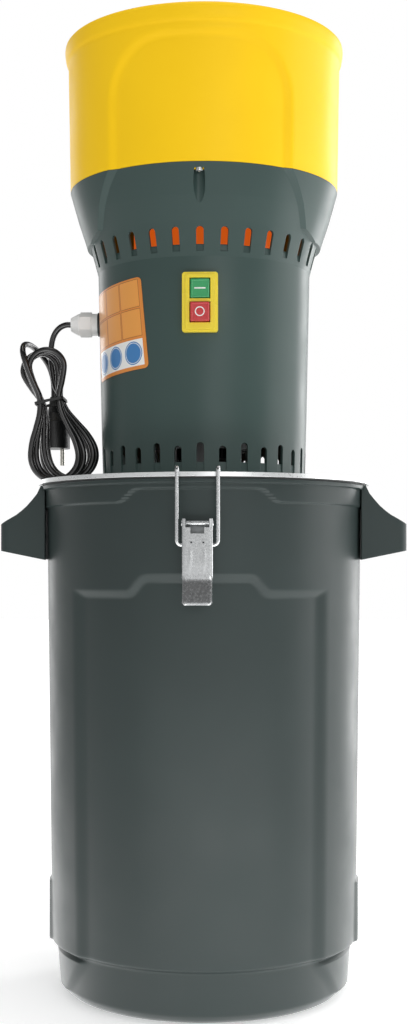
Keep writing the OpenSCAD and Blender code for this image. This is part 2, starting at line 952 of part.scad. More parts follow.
function hopper_r(z) =
    hopper_low_r + (hopper_high_r - hopper_low_r) * (z - mouth_z) / (hopper_top_z - mouth_z);

module hopper_turned(inset, sink, low, top) {
    turned([
        [0, low], [hopper_r(low) - sink - inset, low],
        [hopper_r(top) - sink - inset, top], [0, top]
    ]);
}

module arch_cut(inset) {
    floor_r = hopper_r(mouth_z) - arch_depth - inset;
    grow = inset * 180 / PI / floor_r;
    half_x = (floor_r + arch_depth) * sin(arch_half_angle + grow) + arch_bevel + 14;
    corner = arch_corner_r;
    difference() {
        intersection() {
            translate([0, 0, mouth_z - 1])
                linear_extrude(arch_top_z + inset - mouth_z + 1)
                    polygon(panel_plan(floor_r, arch_depth, arch_half_angle + grow, arch_bevel));
            rotate([90, 0, 0])
                linear_extrude(far)
                    union() {
                        translate([-half_x, mouth_z - 2])
                            square([2 * half_x, arch_top_z + inset - corner - mouth_z + 2]);
                        translate([-half_x + corner, mouth_z - 2])
                            square([2 * (half_x - corner), arch_top_z + inset - mouth_z + 2]);
                        for (side = [-1, 1])
                            translate([side * (half_x - corner), arch_top_z + inset - corner])
                                circle(r = corner);
                    }
        }
        hopper_turned(inset, arch_depth, mouth_z - 5, hopper_top_z);
    }
}

module hopper_form(inset, low, top) {
    difference() {
        hopper_turned(inset, 0, low, top);
        front_and_rear() arch_cut(inset);
    }
}

// The spigot clears the housing's flared wall at its own lower end.
spigot_r = housing_profile(-housing_wall)[6].x - seat_gap
    + (mouth_r - housing_neck_r - 17.5) * (mouth_z - spigot_h - neck_z - 59) / (mouth_z - neck_z - 59);

module hopper() {
    floor_t = 3;
    lip_t = 3;
    lip_low = hopper_top_z - lip_h;
    boss_h = 12;
    color("#f2bd1d")
        difference() {
            union() {
                difference() {
                    union() {
                        hopper_form(0, mouth_z, hopper_top_z);
                        turned([
                            [hopper_high_r - 1, hopper_top_z - lip_t],
                            [lip_r - lip_t, hopper_top_z - lip_t],
                            [lip_r - lip_t, lip_low],
                            [lip_r, lip_low],
                            [lip_r, hopper_top_z - 4],
                            [lip_r - 1.2, hopper_top_z - 1.2],
                            [lip_r - 4, hopper_top_z],
                            [hopper_high_r - 1, hopper_top_z]
                        ]);
                    }
                    hopper_form(hopper_wall, mouth_z - 1, hopper_top_z + 1);
                }
                turned([
                    [0, floor_z], [funnel_r + 4, floor_z],
                    [spigot_r - 3, floor_edge_z - 10], [hopper_low_r - arch_depth, floor_edge_z],
                    [hopper_low_r - arch_depth, floor_edge_z + 4],
                    [funnel_r + 2, floor_z + floor_t], [0, floor_z + floor_t]
                ]);
                translate([0, 0, mouth_z - spigot_h])
                    ring(spigot_r, spigot_r - 2.4, floor_edge_z - mouth_z + spigot_h);
                for (a = [0 : 90 : 270])
                    rotate([0, 0, a])
                        translate([0, -channel_pitch_r, mouth_z])
                            cylinder(r = 5, h = boss_h);
            }
            translate([0, port_y, floor_z - 1]) cylinder(r = port_r, h = floor_t + 2);
            screw_channels(housing_screw_r, mouth_z - 10, mouth_z + boss_h);
            screw_channels(sleeve_r + seat_gap, mouth_z - spigot_h - 1, mouth_z);
        }
}

module housing_screws() {
    head_r = 4.4;
    head_h = 3.4;
    head_z = channel_top - 1.5;
    color("#d9dbdc")
        for (a = [0 : 90 : 270])
            rotate([0, 0, a])
                translate([0, -channel_pitch_r, 0])
                    difference() {
                        union() {
                            translate([0, 0, head_z - head_h]) cylinder(r = head_r, h = head_h);
                            translate([0, 0, head_z - 1])
                                cylinder(r = housing_screw_r - pin_gap, h = mouth_z + 11 - head_z);
                        }
                        translate([0, 0, head_z - head_h - 1]) cylinder(r = 2, h = 3, $fn = 6);
                    }
}

// ---------- feed ----------

gate_z = floor_z + 3;
guide_t = 4;

module gate_guides() {
    guide_l = gate_l + gate_travel;
    guide_h = gate_t + slide_gap + 1.5;
    color("#f2bd1d")
        for (side = [0, 1])
            mirror([side, 0, 0])
                difference() {
                    translate([gate_w / 2 - 2, port_y - gate_l / 2 - gate_travel, gate_z])
                        cube([guide_t + 2 + slide_gap, guide_l, guide_h]);
                    translate([0, port_y - gate_l / 2 - gate_travel - 1, gate_z - 1])
                        cube([gate_w / 2 + slide_gap, guide_l + 2, gate_t + slide_gap + 1]);
                }
}

module feed_gate() {
    lift = 0.1;
    tab_t = 4;
    tab_w = 24;
    color("#2b2e2e")
        translate([0, port_y, gate_z + lift]) {
            translate([-gate_w / 2, -gate_l / 2, 0]) cube([gate_w, gate_l, gate_t]);
            translate([-tab_w / 2, -gate_l / 2 + 3, 0]) cube([tab_w, tab_t, gate_tab_h - tab_w / 4]);
            translate([0, -gate_l / 2 + 3, gate_tab_h - tab_w / 4])
                rotate([-90, 0, 0]) cylinder(r = tab_w / 4, h = tab_t);
        }
}

module above_slope(shift) {
    translate([0, chute_high_y, funnel_z + 5 + shift])
        rotate([-funnel_slope, 0, 0])
            translate([-far / 2, -far / 2, 0]) cube([far, far, far]);
}

// Children that stand on the chute's axis at the lid plate.
module on_chute() {
    translate([0, chute_low_y, plate_top]) rotate([chute_lean, 0, 0]) children();
}

module feed_funnel() {
    inner_r = funnel_r - funnel_wall;
    spout_in = chute_r + chute_wall + seat_gap;
    color("#f06010")
        difference() {
            union() {
                difference() {
                    translate([0, 0, funnel_z]) cylinder(r = funnel_r, h = floor_z - funnel_z);
                    intersection() {
                        translate([0, 0, funnel_z - 1]) cylinder(r = inner_r, h = far);
                        above_slope(0);
                    }
                    difference() {
                        translate([0, 0, funnel_z - 1]) cylinder(r = inner_r, h = far);
                        above_slope(-funnel_wall);
                    }
                }
                intersection() {
                    on_chute() cylinder(r = spout_in + 2, h = far);
                    difference() {
                        translate([0, 0, funnel_z - 14]) cylinder(r = funnel_r, h = 40);
                        above_slope(-0.5);
                    }
                }
            }
            on_chute() cylinder(r = spout_in, h = funnel_z + 3 - plate_top);
            on_chute() cylinder(r = chute_r, h = far);
        }
}

module feed_chute() {
    length = (funnel_z + 1 - plate_top) / cos(chute_lean);
    color("#d9dcdc")
        intersection() {
            on_chute()
                translate([0, 0, -20]) ring(chute_r + chute_wall, chute_r, length + 20);
            translate([-far / 2, -far / 2, plate_top]) cube([far, far, far]);
        }
}

// ---------- label ----------

label_seat = 0.1;

module safety_label() {
    color("#e8902c")
        intersection() {
            difference() {
                housing_turned(label_seat + label_t, plate_top, mouth_z);
                housing_turned(label_seat, plate_top, mouth_z);
            }
            rotate([0, 0, -label_angle])
                translate([0, 0, label_z])
                    rotate([0, -label_tilt, 0])
                        translate([-label_w / 2, -far, -label_h / 2])
                            cube([label_w, far, label_h]);
        }
}

// ---------- switch ----------

frame_front = housing_foot_r + 4 + frame_proud;
button_z = [frame_z + button_rise - button_pitch / 2, frame_z + button_rise + button_pitch / 2];

module rounded_plate(w, h, t, r) {
    for (x = [-1, 1])
        translate([x * (w / 2 - r), 0, 0])
            for (z = [-1, 1])
                translate([0, 0, z * (h / 2 - r)]) rotate([-90, 0, 0]) cylinder(r = r, h = t);
    translate([-w / 2 + r, 0, -h / 2]) cube([w - 2 * r, t, h]);
    translate([-w / 2, 0, -h / 2 + r]) cube([w, t, h - 2 * r]);
}

module button_wells(grow) {
    for (z = button_z)
        translate([-button_w / 2 - grow, -far, z - button_w / 2 - grow])
            cube([button_w + 2 * grow, far - 70, button_w + 2 * grow]);
}

module switch_frame() {
    step = 1.6;
    color("#f4dc3c")
        difference() {
            union() {
                translate([0, -frame_front, frame_z]) rounded_plate(frame_w, frame_h, 8, 3);
                translate([0, -frame_front - step, frame_z])
                    rounded_plate(frame_w - 7, frame_h - 5, 8, 2);
            }
            button_wells(slide_gap);
            housing_turned(0, plate_top, mouth_z);
        }
}

module switch_body() {
    front = housing_foot_r - 1;
    body_w = frame_w - 10 - 2 * seat_gap;
    body_h = frame_h - 10 - 2 * seat_gap;
    well_back = front - 13;
    color("#1f2222")
        difference() {
            translate([-body_w / 2, -front - 3, frame_z - body_h / 2])
                cube([body_w, switch_depth + 3, body_h]);
            intersection() {
                button_wells(slide_gap);
                translate([-far / 2, -far, 0]) cube([far, far - well_back, far * 3]);
            }
        }
}

module button(z, proud) {
    stem = 13 - button_travel - slide_gap;
    depth = frame_front + proud - (housing_foot_r - 1) + stem;
    translate([0, -frame_front - 1.6 - proud, z])
        rounded_plate(button_w, button_w, depth + 1.6, 1.2);
}

module start_button() {
    color("#3fa968") button(button_z[1], start_proud);
}

module stop_button() {
    color("#d0343c") button(button_z[0], stop_proud);
}

// ---------- cable gland, drawn along -X ----------

gland_wall_x = housing_foot_r + 4;
gland_tip = 146.5;

module along_left(x) {
    translate([-x, 0, gland_z]) rotate([0, -90, 0]) children();
}

module gland_washer() {
    color("#2c2f2f")
        difference() {
            along_left(gland_wall_x - 4) ring(13, gland_thread_r + 0.02, 6);
            housing_turned(0, plate_top, mouth_z);
            cylinder(r = gland_wall_x - 4, h = far * 3);
        }
}

module gland_body() {
    color("#dcdcda")
        difference() {
            union() {
                along_left(gland_wall_x - 14) cylinder(r = gland_thread_r, h = 20);
                along_left(gland_wall_x + 2) cylinder(r = gland_af / 2, h = 7);
                along_left(gland_wall_x + 2) cylinder(r = gland_thread_r - 1, h = 22);
            }
            along_left(gland_wall_x - 15) cylinder(r = cord_d / 2 + 1, h = 60);
        }
}

module gland_nut() {
    nut_start = gland_wall_x + 9 + pin_gap;
    nut_len = gland_tip - nut_start;
    color("#e4e4e2")
        difference() {
            union() {
                along_left(nut_start) cylinder(r = gland_af / 2 / cos(30), h = nut_len * 0.55, $fn = 6);
                along_left(nut_start) cylinder(r = gland_af / 2, h = nut_len * 0.62);
                along_left(nut_start + nut_len * 0.62)
                    cylinder(r1 = gland_af / 2, r2 = gland_af / 2 - 4.5, h = nut_len * 0.38);
            }
            along_left(nut_start - 1) cylinder(r = gland_thread_r - 1 + 0.02, h = 17);
            along_left(nut_start - 1) cylinder(r = cord_d / 2 + 0.02, h = nut_len + 2);
        }
}

module gland_locknut() {
    color("#dcdcda")
        difference() {
            along_left(gland_wall_x - 9.6)
                cylinder(r = (gland_af + 3) / 2 / cos(30), h = 5, $fn = 6);
            along_left(gland_wall_x - 20) cylinder(r = gland_thread_r + 0.02, h = 40);
        }
}

// ---------- cord ----------

function unit(v) = v / norm(v);

// A tube along a path; its sides count from a guide that the path never follows.
module cord_tube(path, r, sides, guide) {
    last = len(path) - 1;
    rings = [
        for (i = [0 : last])
            let (
                ahead = i == last ? [0, 0, 0] : unit(path[i + 1] - path[i]),
                behind = i == 0 ? [0, 0, 0] : unit(path[i] - path[i - 1]),
                along = unit(ahead + behind),
                across = unit(cross(along, guide)),
                up = cross(across, along)
            )
            for (s = [0 : sides - 1])
                path[i] + r * (cos(360 * s / sides) * across + sin(360 * s / sides) * up)
    ];
    skin = [
        for (i = [0 : last - 1])
            for (s = [0 : sides - 1])
                let (a = i * sides + s, b = i * sides + (s + 1) % sides)
                each [[a, b, a + sides], [b, b + sides, a + sides]]
    ];
    start_cap = [for (s = [1 : sides - 2]) [0, s + 1, s]];
    end = last * sides;
    end_cap = [for (s = [1 : sides - 2]) [end, end + s, end + s + 1]];
    polyhedron(points = rings, faces = concat(skin, start_cap, end_cap), convexity = 6);
}

// The hank: upright loops in a row, drawn in at the waist.
hank_lean = 12;
hank_foot_x = -155;
hank_back_y = 8;
hank_rings = 24;
waist_at = 0.62;
hank_first = 8;
hank_last = hank_turns * hank_rings + 23;
hank_waist = hank_run * waist_at;
// Lean of each turn about the tie, from the back one to the front one.
hank_fan = [9, 3, 7, -2, -7];
hank_foot_z = plate_top + 0.3 + cord_d / 2 + hank_low_r
    + hank_waist * (cos(hank_lean + min(hank_fan)) - cos(hank_lean));

// Half of the runs' distance, at a share of the way up.
function run_half(share) =
    share < waist_at
        ? waist_r + (hank_low_r - waist_r) * (1 + cos(180 * share / waist_at)) / 2
        : waist_r + (hank_top_r - waist_r) * (1 - cos(180 * (share - waist_at) / (1 - waist_at))) / 2;

// One loop in its own plane: over the top, down a run, round the foot and up.
function loop_point(i) =
    i < 7 ? [-hank_top_r * cos(30 * i), hank_run + hank_top_r * sin(30 * i)]
    : i < 12 ? [run_half((12 - i) / 6), hank_run * (12 - i) / 6]
    : i < 19 ? [hank_low_r * cos(30 * (i - 12)), -hank_low_r * sin(30 * (i - 12))]
    : [-run_half((i - 18) / 6), hank_run * (i - 18) / 6];

// Each loop steps forwards on its left run, and takes on the next one's lean.
function hank_point(k) =
    let (
        i = k % hank_rings,
        turn = floor(k / hank_rings),
        p = loop_point(i),
        climb = i < 18 ? 0 : (i - 18) / 6,
        ease = climb * climb * (3 - 2 * climb),
        next = min(turn + 1, hank_turns),
        fan = hank_fan[turn] * (1 - ease) + hank_fan[next] * ease,
        x = p.x * cos(fan) - (p.y - hank_waist) * sin(fan),
        z = p.x * sin(fan) + (p.y - hank_waist) * cos(fan) + hank_waist
    )
    [
        hank_foot_x + x * cos(hank_lean) - z * sin(hank_lean),
        hank_back_y - hank_step * (turn + climb),
        hank_foot_z + z * cos(hank_lean) + x * sin(hank_lean)
    ];

hank_in = unit(hank_point(hank_first + 1) - hank_point(hank_first));
hank_out = unit(hank_point(hank_last) - hank_point(hank_last - 1));
hank_start = hank_point(hank_first) - cord_d * hank_in;
hank_end = hank_point(hank_last) + cord_d * hank_out;
hank_path = concat(
    [hank_start],
    [for (k = [hank_first : hank_last]) hank_point(k)],
    [hank_end]
);
hank_gap = min([
    for (i = [0 : len(hank_path) - 1])
        for (j = [i + 7 : 1 : len(hank_path) - 1])
            norm(hank_path[i] - hank_path[j])
]) - cord_d;
echo(hank_least_gap = hank_gap);

// The lead from the gland down behind the hank.
lead_route = [for (p = [
    [-152, 0, 0], [-158, 1, -2], [-163.5, 3, -6.5], [-167.5, 5.5, -13.5],
    [-169.5, 7.5, -22], [-170, 8, -32], [-169, 8, -45]
]) p + [0, 0, gland_z]];
lead_path = concat(
    [[12 - gland_tip, 0, gland_z], [-gland_tip, 0, gland_z]],
    lead_route,
    [hank_start - 8 * hank_in, hank_start]
);

// The tail goes over the hank's top to the plug behind it.
plug_at = [-170, 31, plate_top + 100.3];
plug_relief_h = 18;
plug_top_z = plug_at.z - plug_relief_h;
tail_route = [for (p = [
    [-191.2, -27.6, 125.8], [-194, -27.6, 134.8], [-196.3, -25.5, 143.3],
    [-196.8, -19.5, 150.1], [-195, -10.5, 153.6], [-191.5, -0.5, 153.8],
    [-187, 10, 150.8], [-180.5, 20, 143.8], [-174.5, 27.5, 133.3],
    [-171, 31, 120.8], [-170, 31, 109.8]
]) p + [0, 0, plate_top]];
tail_path = concat(
    [hank_end, hank_end + 5 * hank_out],
    tail_route,
    [plug_at]
);

module power_cord() {
    color("#232323") cord_tube(lead_path, cord_d / 2, 8, [0, 1, 0]);
}

module cord_hank() {
    color("#232323") cord_tube(hank_path, cord_d / 2, 6, [0, 1, 0]);
}

module cord_tail() {
    color("#232323") cord_tube(tail_path, cord_d / 2, 8, [1, 0, 0]);
}

module cord_tie() {
    tie_t = 1.2;
    tie_h = 3;
    half_x = waist_r + cord_d / 2 + 1.5;
    back_y = hank_back_y + cord_d / 2 + seat_gap;
    front_y = hank_back_y - hank_step * (hank_turns + 0.8) - cord_d / 2 - seat_gap;
    corner = 3;
    module outline(grow) {
        for (x = [-1, 1])
            for (y = [front_y + corner, back_y - corner])
                translate([x * (half_x - corner), y]) circle(r = corner + grow);
        translate([-half_x - grow, front_y + corner])
            square([2 * (half_x + grow), back_y - front_y - 2 * corner]);
        translate([-half_x + corner, front_y - grow])
            square([2 * (half_x - corner), back_y - front_y + 2 * grow]);
    }
    color("#191919")
        translate([hank_foot_x, 0, hank_foot_z])
            rotate([0, -hank_lean, 0])
                translate([0, 0, hank_waist - tie_h / 2])
                    linear_extrude(tie_h)
                        difference() {
                            outline(tie_t);
                            outline(0);
                        }
}

pin_pitch = 19;
pin_r = 2.4;

module power_plug() {
    color("#1e1e1e")
        translate([plug_at.x, plug_at.y, plug_top_z])
            difference() {
                union() {
                    translate([0, 0, -plug_h]) cylinder(r = plug_r, h = plug_h - 10);
                    translate([0, 0, -10]) cylinder(r1 = plug_r, r2 = 8, h = 10);
                    cylinder(r1 = 7, r2 = cord_d / 2 + 1, h = plug_relief_h);
                }
                for (side = [-1, 1])
                    translate([side * pin_pitch / 2, 0, -plug_h - 1])
                        cylinder(r = pin_r, h = 9);
            }
}

module plug_pins() {
    color("#c9c9c4")
        for (side = [-1, 1])
            translate([plug_at.x + side * pin_pitch / 2, plug_at.y, plug_top_z - plug_h - 19])
                cylinder(r = pin_r, h = 27);
}

// ---------- motor ----------

stator_top = stator_z + stator_h;
bore_r = armature_r + air_gap;
bolt_x = stator_r + 4;
bolt_r = 2.5;
bolt_low_z = bracket_z;
bolt_high_z = stator_top + 22;
bearing_low_z = bracket_z + 2;
bearing_high_z = motor_top_z - 4 - bearing_w;

module at_bolts() {
    for (side = [-1, 1]) translate([side * bolt_x, 0, 0]) children();
}

module lower_bracket() {
    plate_h = 6;
    color("#8f9496")
        difference() {
            union() {
                translate([0, 0, bracket_z]) cylinder(r = stator_r, h = plate_h);
                translate([0, 0, bracket_z]) cylinder(r = bearing_r + 4, h = bearing_w + 4);
                translate([0, 0, bracket_z]) ring(stator_r, stator_r - 4, stator_z - bracket_z);
                for (a = [45 : 90 : 315])
                    rotate([0, 0, a])
                        translate([0, -stator_r + 7, plate_top])
                            cylinder(r = 6, h = bracket_z - plate_top + 1);
                at_bolts() translate([0, 0, bracket_z]) cylinder(r = 6, h = 12);
            }
            for (a = [0 : 45 : 315])
                rotate([0, 0, a + 22.5])
                    translate([-10, -stator_r - 8, bracket_z + plate_h + 4])
                        cube([20, 20, 20]);
            translate([0, 0, bearing_low_z]) cylinder(r = bearing_r, h = far);
            translate([0, 0, bracket_z - 1]) cylinder(r = shaft_r + 2, h = far);
            at_bolts() translate([0, 0, bracket_z - 1]) cylinder(r = bolt_r, h = far);
        }
}

module bearing(z) {
    gap = shaft_r + 2.5;
    color("#c4c7c9")
        translate([0, 0, z])
            difference() {
                cylinder(r = bearing_r, h = bearing_w);
                translate([0, 0, -1]) cylinder(r = shaft_r + pin_gap, h = bearing_w + 2);
                for (end = [0, 1])
                    translate([0, 0, end * (bearing_w - 0.8)])
                        ring(bearing_r - 2.5, gap, 0.8 + (end ? 1 : 0));
                translate([0, 0, -0.2]) ring(bearing_r - 2.5, gap, 1);
            }
}

module lower_bearing() {
    bearing(bearing_low_z);
}

module upper_bearing() {
    bearing(bearing_high_z);
}

// The field coils' windows, left and right of the bore.
module coil_space(grow, low, height) {
    for (side = [0, 180])
        rotate([0, 0, side])
            translate([0, 0, low])
                intersection() {
                    ring(stator_r - 7 + grow, bore_r + 3 - grow, height);
                    translate([0, -24 - grow, -1]) cube([far, 48 + 2 * grow, height + 2]);
                }
}

module stator_core() {
    color("#7c8082")
        difference() {
            translate([0, 0, stator_z]) cylinder(r = stator_r, h = stator_h);
            translate([0, 0, stator_z - 1]) cylinder(r = bore_r, h = stator_h + 2);
            coil_space(0, stator_z - 1, stator_h + 2);
        }
}

module field_coils() {
    overhang = 10;
    color("#b5622c")
        coil_space(-seat_gap, stator_z - overhang, stator_h + 2 * overhang);
}

module upper_bracket() {
    low = stator_top;
    shell = 3;
    color("#8f9496")
        difference() {
            union() {
                translate([0, 0, low]) ring(stator_r, stator_r - 4, 16);
                translate([0, 0, low + 12]) cylinder(r = stator_r, h = 4);
                translate([0, 0, low + 12]) cylinder(r = bracket_r, h = motor_top_z - low - 12);
                at_bolts() translate([0, 0, low + 6]) cylinder(r = 6, h = 10);
            }
            difference() {
                translate([0, 0, low - 1]) cylinder(r = bracket_r - shell, h = motor_top_z - low - 3);
                translate([0, 0, bearing_high_z]) cylinder(r = bearing_r + 3, h = far);
            }
            translate([0, 0, bearing_high_z - 1]) cylinder(r = bearing_r, h = bearing_w + 1);
            translate([0, 0, bearing_high_z - 1]) cylinder(r = shaft_r + 2, h = far);
            at_bolts() translate([0, 0, low - 1]) cylinder(r = bolt_r, h = far);
            brush_boxes(seat_gap, 0);
            for (a = [45 : 90 : 315])
                rotate([0, 0, a])
                    translate([-9, -bracket_r - 2, low + 20]) cube([18, 12, 22]);
        }
}

module motor_bolts() {
    head_h = 4;
    color("#c9ccce")
        at_bolts() {
            translate([0, 0, bolt_low_z]) cylinder(r = bolt_r - pin_gap, h = stator_top + 22 - bolt_low_z);
            translate([0, 0, stator_top + 16]) cylinder(r = 4.6, h = head_h, $fn = 6);
            translate([0, 0, bolt_low_z - head_h]) cylinder(r = 4.6, h = head_h, $fn = 6);
        }
}

commutator_z = bearing_high_z - 4 - commutator_h;
brush_w = 8;
brush_h = 12;
brush_in = commutator_r + slide_gap;

// Boxes along Y, on both sides of the commutator.
module brush_boxes(grow, inner) {
    wall = inner ? 0 : 2;
    for (side = [0, 180])
        rotate([0, 0, side])
            translate([
                -brush_w / 2 - wall - grow,
                -bracket_r - 3,
                commutator_z + (commutator_h - brush_h) / 2 - wall - grow
            ])
                cube([
                    brush_w + 2 * (wall + grow),
                    bracket_r + 3 - brush_in - (inner ? 0 : 3),
                    brush_h + 2 * (wall + grow)
                ]);
}

module brush_holders() {
    color("#b58a3c")
        difference() {
            brush_boxes(0, 0);
            brush_boxes(0.1, 1);
        }
}

module carbon_brushes() {
    color("#26272a")
        difference() {
            brush_boxes(0, 1);
            cylinder(r = brush_in, h = far * 3);
            ring(far, bracket_r - 2, far * 3);
        }
}

// ---------- rotor ----------

cutter_z = plate_z - cutter_drop;
nut_h = 8;

module motor_shaft() {
    color("#c4c7c9")
        translate([0, 0, cutter_z - nut_h - 3])
            cylinder(r = shaft_r, h = motor_top_z - 2 - cutter_z + nut_h + 3);
}

module armature_core() {
    color("#6d7173")
        difference() {
            translate([0, 0, stator_z]) cylinder(r = armature_r, h = stator_h);
            translate([0, 0, stator_z - 1]) cylinder(r = shaft_r, h = stator_h + 2);
            for (i = [0 : 11])
                rotate([0, 0, i * 30])
                    translate([-1.6, -armature_r - 1, stator_z - 1])
                        cube([3.2, 9, stator_h + 2]);
        }
}

// The winding's heads, and its wires in the core's slots.
module armature_winding() {
    head_h = 9;
    color("#a8552a")
        for (z = [stator_z - head_h, stator_top])
            translate([0, 0, z]) ring(armature_r - 3, shaft_r, head_h);
}

module commutator() {
    low = stator_top + 9;
    color("#b87333")
        difference() {
            union() {
                translate([0, 0, commutator_z]) cylinder(r = commutator_r, h = commutator_h);
                translate([0, 0, low]) cylinder(r = commutator_r - 4, h = commutator_z - low);
            }
            translate([0, 0, low - 1]) cylinder(r = shaft_r, h = far);
        }
}

module cooling_fan() {
    low = bearing_low_z + bearing_w + 6;
    color("#26292a")
        difference() {
            union() {
                translate([0, 0, low]) cylinder(r = fan_r, h = 2);
                translate([0, 0, low]) cylinder(r = 13, h = fan_h);
                for (i = [0 : fan_blades - 1])
                    rotate([0, 0, i * 360 / fan_blades])
                        translate([-1, 0, low]) cube([2, fan_r - 1, fan_h]);
            }
            translate([0, 0, low - 1]) cylinder(r = shaft_r, h = far);
        }
}

module blade_hub() {
    color("#9a9ea0")
        translate([0, 0, cutter_z + cutter_t])
            difference() {
                cylinder(r = 18, h = cutter_drop - cutter_t - 6);
                translate([0, 0, -1]) cylinder(r = shaft_r, h = far);
            }
}

module cutter_blade() {
    color("#b7babb")
        translate([0, 0, cutter_z])
            difference() {
                intersection() {
                    translate([-cutter_r, -cutter_w / 2, 0]) cube([2 * cutter_r, cutter_w, cutter_t]);
                    cylinder(r = cutter_r, h = cutter_t);
                }
                translate([0, 0, -1]) cylinder(r = shaft_r, h = far);
                for (side = [0, 180])
                    rotate([0, 0, side])
                        translate([40, -cutter_w / 2, cutter_t])
                            rotate([30, 0, 0])
                                translate([0, -10, 0]) cube([far, 10 + 5, 6]);
            }
}

module blade_nut() {
    color("#c9ccce")
        translate([0, 0, cutter_z - nut_h])
            difference() {
                cylinder(r = 11, h = nut_h, $fn = 6);
                translate([0, 0, -1]) cylinder(r = shaft_r, h = far);
            }
}

// ---------- grinding chamber ----------

sieve_z = plate_z - sieve_h;
stud_end_z = sieve_z - chamber_floor_t - 9;

module at_studs() {
    for (a = [45 : 90 : 315]) rotate([0, 0, a]) translate([0, -stud_pitch_r, 0]) children();
}

module sieve_ring() {
    rows = 3;
    holes = 24;
    color("#c9ccce")
        difference() {
            translate([0, 0, sieve_z]) ring(sieve_r, sieve_r - sieve_t, sieve_h);
            for (row = [0 : rows - 1])
                for (i = [0 : holes - 1])
                    rotate([0, 0, (i + row / 2) * 360 / holes])
                        translate([0, -sieve_r + 5, sieve_z + sieve_h * (row + 1) / (rows + 1)])
                            rotate([90, 0, 0]) cylinder(r = 4, h = 10);
        }
}

module chamber_floor() {
    color("#c2c5c7")
        translate([0, 0, sieve_z - chamber_floor_t])
            difference() {
                cylinder(r = chamber_r, h = chamber_floor_t);
                translate([0, 0, -1]) cylinder(r = chamber_hole_r, h = far);
                at_studs() translate([0, 0, -1]) cylinder(r = stud_r + 0.3, h = 10);
            }
}

module chamber_studs() {
    color("#c9ccce")
        at_studs() translate([0, 0, stud_end_z]) cylinder(r = stud_r, h = plate_z - stud_end_z);
}

module chamber_nuts() {
    color("#d0d2d3")
        at_studs()
            translate([0, 0, sieve_z - chamber_floor_t - 5])
                difference() {
                    cylinder(r = nut_af / 2 / cos(30), h = 5, $fn = 6);
                    translate([0, 0, -1]) cylinder(r = stud_r, h = 7);
                }
}

bucket();
left_handle();
right_handle();
front_latch_base();
front_latch_lever();
front_latch_pin();
front_bail();
rear_latch_base();
rear_latch_lever();
rear_latch_pin();
rear_bail();
lid_plate();
lid_seal();
lid_screws();
motor_housing();
housing_screws();
hopper();
gate_guides();
feed_gate();
feed_funnel();
feed_chute();
safety_label();
switch_frame();
switch_body();
start_button();
stop_button();
gland_body();
gland_washer();
gland_nut();
gland_locknut();
power_cord();
cord_hank();
cord_tail();
cord_tie();
power_plug();
plug_pins();
lower_bracket();
stator_core();
field_coils();
upper_bracket();
motor_bolts();
lower_bearing();
upper_bearing();
brush_holders();
carbon_brushes();
motor_shaft();
armature_core();
armature_winding();
commutator();
cooling_fan();
blade_hub();
cutter_blade();
blade_nut();
sieve_ring();
chamber_floor();
chamber_studs();
chamber_nuts();
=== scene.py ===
"""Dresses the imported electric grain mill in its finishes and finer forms."""

import math

import bmesh
import bpy
from mathutils import Matrix, Vector


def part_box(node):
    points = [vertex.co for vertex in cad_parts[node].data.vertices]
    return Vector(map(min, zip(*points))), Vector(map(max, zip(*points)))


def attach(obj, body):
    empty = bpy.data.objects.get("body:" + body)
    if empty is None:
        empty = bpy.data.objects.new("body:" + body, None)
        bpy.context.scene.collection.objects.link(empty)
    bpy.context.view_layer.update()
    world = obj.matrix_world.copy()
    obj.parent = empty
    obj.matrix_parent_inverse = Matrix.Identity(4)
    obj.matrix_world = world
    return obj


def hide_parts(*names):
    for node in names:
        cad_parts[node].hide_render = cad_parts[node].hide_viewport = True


bl_info = {
    "name": "Electric Grain Mill",
    "version": (1, 0, 0),
    "blender": (4, 5, 0),
    "location": "3D View > Sidebar > Grain Mill",
    "description": "Pieces and finishes of an electric grain mill, its latches and its cord",
    "category": "Object",
}

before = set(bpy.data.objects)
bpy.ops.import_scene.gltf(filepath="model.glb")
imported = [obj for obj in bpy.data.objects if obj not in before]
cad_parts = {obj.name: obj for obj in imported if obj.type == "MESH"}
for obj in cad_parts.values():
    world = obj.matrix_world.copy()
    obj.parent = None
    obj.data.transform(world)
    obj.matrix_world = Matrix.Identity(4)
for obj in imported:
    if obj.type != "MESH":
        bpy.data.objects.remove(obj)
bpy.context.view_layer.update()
MM = 0.001

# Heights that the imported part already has, and its gland's tip, read from its nodes.
LID_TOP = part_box("motor_housing")[0].z
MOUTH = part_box("motor_housing")[1].z
HOPPER_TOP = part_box("hopper")[1].z
GLAND_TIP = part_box("gland_nut")[0].x
GLAND_Z = (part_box("gland_nut")[0].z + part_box("gland_nut")[1].z) / 2

# Finishes that more than one place asks for.
BUCKET_GREEN = "Moulded polypropylene, bucket green"
HOPPER_YELLOW = "Moulded polypropylene, hopper yellow"
START_GREEN = "Moulded ABS, start green"
STOP_RED = "Moulded ABS, stop red"
MARK_WHITE = "Printed mark, white"
ZINC = "Zinc plated steel"


# ---------- sizes and colours that a user may change ----------


